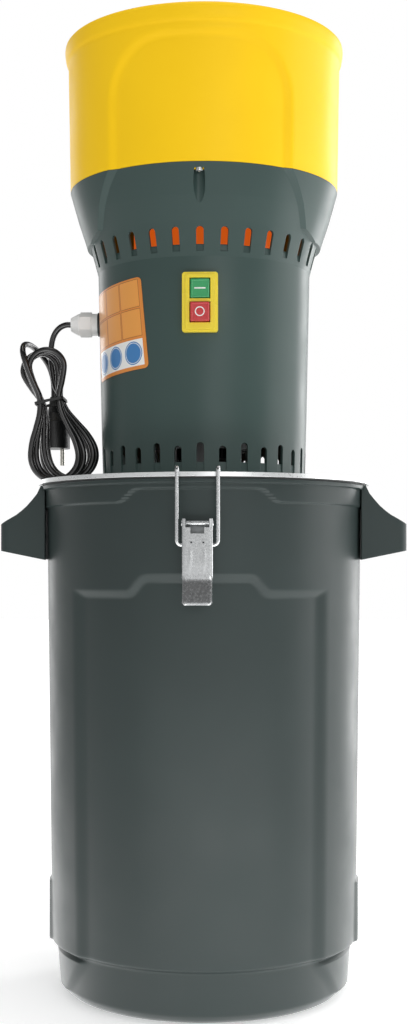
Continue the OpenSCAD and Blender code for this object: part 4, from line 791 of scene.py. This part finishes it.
def label_material():
    """Printed vinyl film: flat inks under a thin gloss film, with blank cells and plain discs."""
    tint = bpy.context.scene.mill_colours
    material, tree, shader = new_material("Printed vinyl film")
    # Middles and half sizes as shares of the label's sides.
    columns, cell_rows, disc_row = (0.19, 0.5, 0.81), (0.83, 0.51), 0.185
    cell_half, line_half, white_half = (0.142, 0.146), (0.148, 0.152), (0.455, 0.145)
    disc_r, ring_outer, ring_inner = 0.128, 0.116, 0.108
    flat = node(
        tree, "ShaderNodeSeparateXYZ", {"Vector": node(tree, "ShaderNodeTexCoord").outputs["UV"]}
    )
    u, v = flat.outputs["X"], flat.outputs["Y"]

    def calc(kind, *values):
        return node(tree, "ShaderNodeMath", dict(enumerate(values)), operation=kind).outputs[0]

    def off(value, middle):
        return calc("ABSOLUTE", calc("SUBTRACT", value, middle))

    def inside(middle_u, middle_v, half):
        across = calc("LESS_THAN", off(u, middle_u), half[0])
        return calc("MULTIPLY", across, calc("LESS_THAN", off(v, middle_v), half[1]))

    def over(base, mask, colour):
        inputs = {"Factor": mask, "A": base, "B": colour}
        return node(tree, "ShaderNodeMix", inputs, data_type="RGBA").outputs["Result"]

    ink = over(srgb(tint.label), inside(0.5, disc_row, white_half), srgb("FBFBF8"))
    for column in columns:
        for row in cell_rows:
            cell = inside(column, row, cell_half)
            line = calc("SUBTRACT", inside(column, row, line_half), cell)
            ink = over(ink, line, srgb("A85C1E"))
            ink = over(ink, cell, srgb("F5A64A"))
        away = calc(
            "SQRT",
            calc("ADD", calc("POWER", off(u, column), 2.0), calc("POWER", off(v, disc_row), 2.0)),
        )
        ink = over(ink, calc("LESS_THAN", away, disc_r), srgb(tint.discs))
        ring = calc(
            "MULTIPLY", calc("LESS_THAN", away, ring_outer), calc("GREATER_THAN", away, ring_inner)
        )
        ink = over(ink, ring, srgb("E8EEF4"))
    tree.links.new(ink, shader.inputs["Base Color"])
    waves = node(tree, "ShaderNodeTexNoise", {"Vector": place(tree), "Scale": 60.0, "Detail": 1.0})
    bump = node(
        tree, "ShaderNodeBump",
        {"Height": waves.outputs["Fac"], "Strength": 0.05, "Distance": 1 * MM},
    )
    tree.links.new(bump.outputs[0], shader.inputs["Normal"])
    shader.inputs["Roughness"].default_value = 0.34
    shader.inputs["Coat Weight"].default_value = 0.3
    shader.inputs["Coat Roughness"].default_value = 0.15
    return material


class MILL_OT_label(bpy.types.Operator):
    """Bends the printed label round the housing, tilted as it was stuck on."""

    bl_idname = "mill.label"
    bl_label = "Label"

    def execute(self, context):
        wide = context.scene.mill_sizes.label_side / MM
        tall, middle, corner, film, glue = 95.0, 709.0, 5.0, 0.38, 0.12
        tilt, turn, squares = math.radians(4.5), math.radians(54), 72
        straight_x, straight_y = wide / 2 - corner, tall / 2 - corner
        bm = bmesh.new()
        bmesh.ops.create_grid(bm, x_segments=squares, y_segments=squares, size=0.5, calc_uvs=True)
        for v in bm.verts:
            v.co.x *= wide
            v.co.y *= tall
            over_x, over_y = abs(v.co.x) - straight_x, abs(v.co.y) - straight_y
            if over_x > 0 and over_y > 0:
                away = math.hypot(over_x, over_y)
                if away > corner:
                    v.co.x = math.copysign(straight_x + over_x * corner / away, v.co.x)
                    v.co.y = math.copysign(straight_y + over_y * corner / away, v.co.y)
        layer = bm.loops.layers.uv.verify()
        for f in bm.faces:
            for loop in f.loops:
                loop[layer].uv = (loop.vert.co.x / wide + 0.5, loop.vert.co.y / tall + 0.5)
        for v in bm.verts:
            x = v.co.x * math.cos(tilt) - v.co.y * math.sin(tilt)
            z = middle + v.co.x * math.sin(tilt) + v.co.y * math.cos(tilt)
            radius = housing_radius(z) + glue
            turned_by = math.asin(x / radius) - turn
            v.co = Vector((radius * math.sin(turned_by), -radius * math.cos(turned_by), z)) * MM
        bm.normal_update()
        bm.faces.ensure_lookup_table()
        if bm.faces[0].normal.dot(bm.faces[0].calc_center_median()) < 0:
            bmesh.ops.reverse_faces(bm, faces=bm.faces)
        bmesh.ops.solidify(bm, geom=bm.faces[:], thickness=-film * MM)
        bmesh.ops.recalc_face_normals(bm, faces=bm.faces)
        made = piece("label_film", bm, "head", MARK_WHITE, ["safety_label"], 40)
        made.data.materials[0] = label_material()
        return {"FINISHED"}


def housing_radius(z):
    """The housing's outer radius below its flare."""
    points = [(549.7, 110.6), (620, 112.5), (750, 115.2), (777, 115.8)]
    for (low, a), (high, b) in zip(points, points[1:]):
        if z <= high:
            return a + (b - a) * (z - low) / (high - low)
    return points[-1][1]


# ---------- switch ----------


BUTTONS = (("start_button", START_GREEN, "bar"), ("stop_button", STOP_RED, "ring"))
RING_OUTLINE = ((3.9, -0.3), (5.0, -0.3), (5.0, 0.2), (4.8, 0.3), (4.1, 0.3), (3.9, 0.2))
BAR_SIZE, BAR_ROUND = Vector((11.5, 1.5, 0.6)) * MM, 0.25 * MM
MARK_DEEP = 0.5 * MM


def soft_box(size, offset, segments):
    """A box about the middle, with all its edges rounded."""
    bm = bmesh.new()
    bmesh.ops.create_cube(bm, size=1, matrix=Matrix.Diagonal((*size, 1)))
    bmesh.ops.bevel(
        bm, geom=bm.edges[:], offset=offset, segments=segments, profile=0.5, affect="EDGES",
        material=-1,
    )
    return bm


class MILL_OT_switch(bpy.types.Operator):
    """Models the two soft-edged buttons and inlays their white bar and ring."""

    bl_idname = "mill.switch"
    bl_label = "Buttons"

    def execute(self, context):
        turn_up = Matrix.Rotation(math.pi / 2, 4, "X")
        play, edge, smallest_face = 1.1 * MM, 1.1 * MM, 1e-4
        border, slope, dish = 1.0 * MM, 0.5 * MM, -0.35 * MM
        for name, finish, shape in BUTTONS:
            low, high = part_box(name)
            middle = Vector((0, low.y, (low.z + high.z) / 2))
            wide, deep = (high.x - low.x) - play, high.y - low.y
            cap = soft_box((wide, deep, wide), edge, 4)
            face = [f for f in cap.faces if f.normal.y < -0.9 and f.calc_area() > smallest_face]
            bmesh.ops.inset_region(cap, faces=face, thickness=border, depth=0)
            bmesh.ops.inset_region(cap, faces=face, thickness=slope, depth=dish)
            bmesh.ops.translate(cap, vec=middle + Vector((0, deep / 2, 0)), verts=cap.verts)
            bmesh.ops.recalc_face_normals(cap, faces=cap.faces)
            piece(f"{name}_cap", cap, name, finish, [name], 25)

            if shape == "bar":
                mark = soft_box(BAR_SIZE, BAR_ROUND, 2)
            else:
                mark = bmesh.new()
                verts = [mark.verts.new((r * MM, 0, z * MM)) for r, z in RING_OUTLINE]
                edges = [mark.edges.new(pair) for pair in zip(verts, verts[1:] + verts[:1])]
                bmesh.ops.spin(
                    mark, geom=verts + edges, cent=(0, 0, 0), axis=(0, 0, 1), angle=math.tau,
                    steps=64, use_merge=True,
                )
            seat = Matrix.Translation(middle + Vector((0, MARK_DEEP, 0)))
            bmesh.ops.transform(mark, matrix=seat @ turn_up, verts=mark.verts)
            bmesh.ops.recalc_face_normals(mark, faces=mark.faces)
            piece(f"{name}_{shape}", mark, name, MARK_WHITE)
        return {"FINISHED"}


# ---------- cord ----------

# The hank, in millimetres and degrees: turns and their step, the half widths of a loop's ends and
# waist, its run, its lean, its place, its first point and how far each loop fans out.
HANK = {
    "turns": 4, "step": 7.1, "top": 19.0, "low": 26.0, "run": 98.0, "waist": 10.0,
    "waist_at": 0.62, "lean": 12.0, "x": -155.0, "y": 8.0, "first": 8, "fan": (9, 3, 7, -2, -7),
}
LOOP_POINTS, STEP_ANGLE = 24, 30  # points in a loop, and degrees between them round its ends
CORD_R, LID_GAP, LEAD_IN = 3.25, 0.3, 6.5


def run_half(share):
    """Half of the distance between the hank's two runs, at a share of the way up."""
    low, top, waist, at = HANK["low"], HANK["top"], HANK["waist"], HANK["waist_at"]
    if share < at:
        return waist + (low - waist) * (1 + math.cos(math.pi * share / at)) / 2
    return waist + (top - waist) * (1 - math.cos(math.pi * (share - at) / (1 - at))) / 2


def loop_point(i):
    """One loop in its own plane, in 24 points."""
    run, top, low = HANK["run"], HANK["top"], HANK["low"]
    if i < 7:
        round_end = math.radians(STEP_ANGLE * i)
        return -top * math.cos(round_end), run + top * math.sin(round_end)
    if i < 12:
        return run_half((12 - i) / 6), run * (12 - i) / 6
    if i < 19:
        round_end = math.radians(STEP_ANGLE * (i - 12))
        return low * math.cos(round_end), -low * math.sin(round_end)
    return -run_half((i - 18) / 6), run * (i - 18) / 6


def hank_point(k):
    """The hank's point number k: each loop leans its own way, and its left run steps forwards."""
    i, turn = k % LOOP_POINTS, k // LOOP_POINTS
    flat_x, flat_z = loop_point(i)
    climb = 0 if i < 18 else (i - 18) / 6
    fans, waist = HANK["fan"], HANK["run"] * HANK["waist_at"]
    ease = smooth_step(climb)
    fan = math.radians(fans[turn] * (1 - ease) + fans[min(turn + 1, HANK["turns"])] * ease)
    x = flat_x * math.cos(fan) - (flat_z - waist) * math.sin(fan)
    z = flat_x * math.sin(fan) + (flat_z - waist) * math.cos(fan) + waist
    lean, least = math.radians(HANK["lean"]), math.radians(HANK["lean"] + min(fans))
    sink = waist * (math.cos(least) - math.cos(lean))
    foot = LID_TOP / MM + LID_GAP + CORD_R + HANK["low"] + sink
    return Vector((
        HANK["x"] + x * math.cos(lean) - z * math.sin(lean),
        HANK["y"] - HANK["step"] * (turn + climb),
        foot + z * math.cos(lean) + x * math.sin(lean),
    ))


def cord_route():
    """The whole cord in millimetres: lead, hank and tail."""
    last = HANK["turns"] * LOOP_POINTS + LOOP_POINTS - 1
    loops = [hank_point(k) for k in range(HANK["first"], last + 1)]
    into, out = (loops[1] - loops[0]).normalized(), (loops[-1] - loops[-2]).normalized()
    start, end = loops[0] - LEAD_IN * into, loops[-1] + LEAD_IN * out
    lead = [
        (GLAND_TIP / MM, 0, 0), (-152, 0, 0), (-158, 1, -2), (-163.5, 3, -6.5),
        (-167.5, 5.5, -13.5), (-169.5, 7.5, -22), (-170, 8, -32), (-169, 8, -45),
    ]
    tail = [
        (-191.2, -27.6, 125.8), (-194, -27.6, 134.8), (-196.3, -25.5, 143.3),
        (-196.8, -19.5, 150.1), (-195, -10.5, 153.6), (-191.5, -0.5, 153.8),
        (-187, 10, 150.8), (-180.5, 20, 143.8), (-174.5, 27.5, 133.3),
        (-171, 31, 120.8), (-170, 31, 109.8), (-170, 31, 100.3),
    ]
    lead = [Vector(p) + Vector((0, 0, GLAND_Z / MM)) for p in lead]
    tail = [Vector(p) + Vector((0, 0, LID_TOP / MM)) for p in tail]
    return lead + [start - 8 * into, start] + loops + [end, end + 5 * out] + tail


def curved(points, parts=4):
    """A smooth line through all points, with more put between them."""
    line = []
    for i in range(len(points) - 1):
        before = points[i - 1] if i else points[0] * 2 - points[1]
        after = points[i + 2] if i + 2 < len(points) else points[-1] * 2 - points[-2]
        a, b = points[i], points[i + 1]
        for j in range(parts):
            t = j / parts
            straight = 2 * a + (b - before) * t
            squared = (2 * before - 5 * a + 4 * b - after) * t**2
            cubed = (3 * a - before - 3 * b + after) * t**3
            line.append(0.5 * (straight + squared + cubed))
    return line + [points[-1]]


def cord_material():
    """Soft PVC sheath, extruded: near black and glossy, with a faint fine texture."""
    material, tree, shader = new_material("Extruded PVC, cord black")
    at = place(tree)
    broad = node(tree, "ShaderNodeTexNoise", {"Vector": at, "Scale": 40.0, "Detail": 2.0})
    colour = srgb(bpy.context.scene.mill_colours.cord)
    tree.links.new(
        shade_between(tree, broad.outputs["Fac"], scaled(colour, 0.8), scaled(colour, 1.3)),
        shader.inputs["Base Color"],
    )
    fine = node(tree, "ShaderNodeTexNoise", {"Vector": at, "Scale": 420.0, "Detail": 2.0})
    bump = node(
        tree, "ShaderNodeBump",
        {"Height": fine.outputs["Fac"], "Strength": 0.06, "Distance": 0.3 * MM},
    )
    tree.links.new(bump.outputs[0], shader.inputs["Normal"])
    shader.inputs["Roughness"].default_value = 0.24
    shader.inputs["Coat Weight"].default_value = 0.35
    shader.inputs["Coat Roughness"].default_value = 0.12
    return material


class MILL_OT_cord(bpy.types.Operator):
    """Lays the power cord: out of the gland, through its tied hank and down to the plug."""

    bl_idname = "mill.cord"
    bl_label = "Power cord"

    def execute(self, context):
        diameter = context.scene.mill_sizes.cord_diameter
        route = [p * MM for p in curved(cord_route())]
        data = bpy.data.curves.new("power_lead", "CURVE")
        data.dimensions = "3D"
        data.bevel_depth = diameter / 2
        data.bevel_resolution = 5
        data.use_fill_caps = True
        spline = data.splines.new("POLY")
        spline.points.add(len(route) - 1)
        for spot, p in zip(spline.points, route):
            spot.co = (*p, 1)
        spline.use_smooth = True
        data.materials.append(cord_material())
        lead = bpy.data.objects.new("power_lead", data)
        context.scene.collection.objects.link(lead)
        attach(lead, "head")
        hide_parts("power_cord", "cord_hank", "cord_tail")
        return {"FINISHED"}


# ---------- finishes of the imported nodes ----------


class MILL_OT_finishes(bpy.types.Operator):
    """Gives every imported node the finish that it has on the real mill."""

    bl_idname = "mill.finishes"
    bl_label = "Finishes"

    def execute(self, context):
        known = finishes()
        for finish, names in NODE_FINISH.items():
            for name in names:
                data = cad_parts[name].data
                data.materials.clear()
                data.materials.append(known[finish])
        return {"FINISHED"}


# ---------- stage ----------


# Lens and sensor in millimetres, the shift as a share of the frame, the turn in degrees, and the
# distance and height in metres.
CAMERA = {"lens": 52.35, "sensor": 36, "shift": 0.0569, "turn": 2.0, "away": 1.638, "z": 0.4554}

# Each lamp's name, its place and its aim, its width and height in metres, and its watts.
LAMPS = (
    ("right softbox", (1.5, 0.1, 0.75), (0, 0, 0.5), (1.1, 1.7), 12),
    ("rear right strip", (1.0, 1.1, 0.7), (0, 0, 0.5), (0.5, 1.7), 11),
    ("left strip", (-1.0, 1.3, 0.75), (0, 0, 0.5), (0.4, 1.6), 4),
    ("front fill", (0.7, -2.3, 1.1), (0, 0, 0.5), (1.2, 0.7), 7),
    ("floor bounce", (0.1, -0.75, 0.02), (0, -0.1, 0.45), (1.5, 0.3), 4),
    ("top light", (0.1, -0.3, 2.3), (0, 0, 0.6), (1.2, 1.2), 9),
)


def lamp(name, at, aim, size, power):
    """A soft rectangular lamp that points at a spot."""
    data = bpy.data.lights.new(name, "AREA")
    data.shape = "RECTANGLE"
    data.size, data.size_y = size
    data.energy = power
    made = bpy.data.objects.new(name, data)
    made.location = at
    made.rotation_euler = (Vector(aim) - Vector(at)).to_track_quat("-Z", "Y").to_euler()
    bpy.context.scene.collection.objects.link(made)


def white_surroundings():
    """White to the camera, at a strength of 1, and dimmer to what the mill mirrors or gathers.

    Gloss sees it brightest behind the mill, dimmest at the sides and nearly dark overhead.
    """
    front, sides, behind, overhead, gathered = 0.62, 0.42, 0.85, 0.12, 0.43
    dim_from, dim_to = 0.3, 0.62
    world = bpy.data.worlds.new("White room")
    bpy.context.scene.world = world
    world.use_nodes = True
    tree = world.node_tree
    background = tree.nodes["Background"]
    towards = node(tree, "ShaderNodeTexCoord").outputs["Generated"]
    way = node(tree, "ShaderNodeSeparateXYZ", {"Vector": towards})
    level = node(
        tree, "ShaderNodeMapRange",
        {"Value": way.outputs["Z"], "From Min": dim_from, "From Max": dim_to,
         "To Min": 1.0, "To Max": overhead},
    )
    half_turn = node(
        tree, "ShaderNodeMapRange", {"Value": way.outputs["Y"], "From Min": -1.0, "From Max": 1.0}
    )
    ramp = node(tree, "ShaderNodeValToRGB", {"Fac": half_turn.outputs[0]})
    stops = ramp.color_ramp.elements
    stops.new(0.12)
    stops.new(0.5)
    for stop, grey in zip(stops, (front, front, sides, behind)):
        stop.color = (grey, grey, grey, 1)
    gloss = node(
        tree, "ShaderNodeMath", {0: ramp.outputs["Color"], 1: level.outputs[0]},
        operation="MULTIPLY",
    )
    path = node(tree, "ShaderNodeLightPath")
    soft = node(
        tree, "ShaderNodeMix",
        {"Factor": path.outputs["Is Glossy Ray"], "A": gathered, "B": gloss.outputs[0]},
        data_type="FLOAT",
    )
    strength = node(
        tree, "ShaderNodeMix",
        {"Factor": path.outputs["Is Camera Ray"], "A": soft.outputs[0], "B": 1.0},
        data_type="FLOAT",
    )
    background.inputs["Color"].default_value = (1, 1, 1, 1)
    tree.links.new(strength.outputs[0], background.inputs["Strength"])


def pale_floor():
    """A wide white floor that keeps the mill's soft shadow and runs on white to the horizon.

    Its glow grows with the distance for the camera. For gloss it is brighter than white near the
    mill, where it lifts the sheen of the bucket, and fades outwards.
    """
    half_side, drop = 12, 0.0005
    seen_from, seen_to, seen_near, seen_far = 0.35, 2.0, 0.45, 1.0
    gloss_from, gloss_to, gloss_near, gloss_far = 0.55, 1.3, 2.2, 0.7
    bm = bmesh.new()
    bmesh.ops.create_grid(bm, x_segments=1, y_segments=1, size=half_side)
    mesh = bpy.data.meshes.new("floor")
    bm.to_mesh(mesh)
    bm.free()
    # Matt white paper: it shows the shadow, and no mirror image of the mill.
    material, tree, shader = new_material("White floor")
    shader.inputs["Base Color"].default_value = srgb("F4F4F4")
    shader.inputs["Roughness"].default_value = 0.7
    spot = node(tree, "ShaderNodeTexCoord").outputs["Object"]
    away = node(tree, "ShaderNodeVectorMath", {0: spot}, operation="LENGTH").outputs["Value"]
    far = node(
        tree, "ShaderNodeMapRange",
        {"Value": away, "From Min": seen_from, "From Max": seen_to,
         "To Min": seen_near, "To Max": seen_far},
    )
    path = node(tree, "ShaderNodeLightPath")
    seen = node(
        tree, "ShaderNodeMath", {0: path.outputs["Is Camera Ray"], 1: far.outputs[0]},
        operation="MULTIPLY",
    )
    near = node(
        tree, "ShaderNodeMapRange",
        {"Value": away, "From Min": gloss_from, "From Max": gloss_to,
         "To Min": gloss_near, "To Max": gloss_far},
    )
    mirrored = node(
        tree, "ShaderNodeMath", {0: path.outputs["Is Glossy Ray"], 1: near.outputs[0]},
        operation="MULTIPLY",
    )
    glow = node(
        tree, "ShaderNodeMath", {0: seen.outputs[0], 1: mirrored.outputs[0]}, operation="ADD"
    )
    shader.inputs["Emission Color"].default_value = (1, 1, 1, 1)
    tree.links.new(glow.outputs[0], shader.inputs["Emission Strength"])
    mesh.materials.append(material)
    floor = bpy.data.objects.new("floor", mesh)
    floor.location.z = -drop
    bpy.context.scene.collection.objects.link(floor)


class MILL_OT_stage(bpy.types.Operator):
    """Sets up the camera, the white floor and the studio light."""

    bl_idname = "mill.stage"
    bl_label = "Stage"

    def execute(self, context):
        scene = context.scene
        scene.view_settings.view_transform = "Standard"
        data = bpy.data.cameras.new("camera")
        data.lens = CAMERA["lens"]
        data.sensor_width = CAMERA["sensor"]
        data.shift_y = CAMERA["shift"]
        camera = bpy.data.objects.new("camera", data)
        turn, away = math.radians(CAMERA["turn"]), CAMERA["away"]
        camera.location = (away * math.sin(turn), -away * math.cos(turn), CAMERA["z"])
        camera.rotation_euler = (math.pi / 2, 0, turn)
        scene.collection.objects.link(camera)
        scene.camera = camera
        white_surroundings()
        pale_floor()
        for row in LAMPS:
            lamp(*row)
        return {"FINISHED"}


# ---------- panel and registration ----------


class MILL_PT_panel(bpy.types.Panel):
    """Lists the mill's pieces and their sizes in the sidebar."""

    bl_idname = "MILL_PT_panel"
    bl_label = "Grain Mill"
    bl_space_type = "VIEW_3D"
    bl_region_type = "UI"
    bl_category = "Grain Mill"

    def draw(self, context):
        for group in (context.scene.mill_sizes, context.scene.mill_colours):
            box = self.layout.box()
            for name in group.bl_rna.properties.keys():
                if name not in ("rna_type", "name"):
                    box.prop(group, name)
        for operator in OPERATORS:
            self.layout.operator(operator.bl_idname)


OPERATORS = (
    MILL_OT_stage, MILL_OT_cord, MILL_OT_finishes, MILL_OT_bucket, MILL_OT_hopper,
    MILL_OT_latches, MILL_OT_label, MILL_OT_switch,
)
CLASSES = (MillSizes, MillColours, *OPERATORS, MILL_PT_panel)


def register():
    """Registers the classes and hangs the settings on the scene."""
    for kind in CLASSES:
        bpy.utils.register_class(kind)
    bpy.types.Scene.mill_sizes = bpy.props.PointerProperty(type=MillSizes)
    bpy.types.Scene.mill_colours = bpy.props.PointerProperty(type=MillColours)


def unregister():
    """Takes the settings and the classes away again."""
    del bpy.types.Scene.mill_colours
    del bpy.types.Scene.mill_sizes
    for kind in reversed(CLASSES):
        bpy.utils.unregister_class(kind)


def main():
    """Makes the stage and every piece."""
    register()
    for operator in OPERATORS:
        group, name = operator.bl_idname.split(".")
        getattr(getattr(bpy.ops, group), name)()


if __name__ == "__main__":
    main()
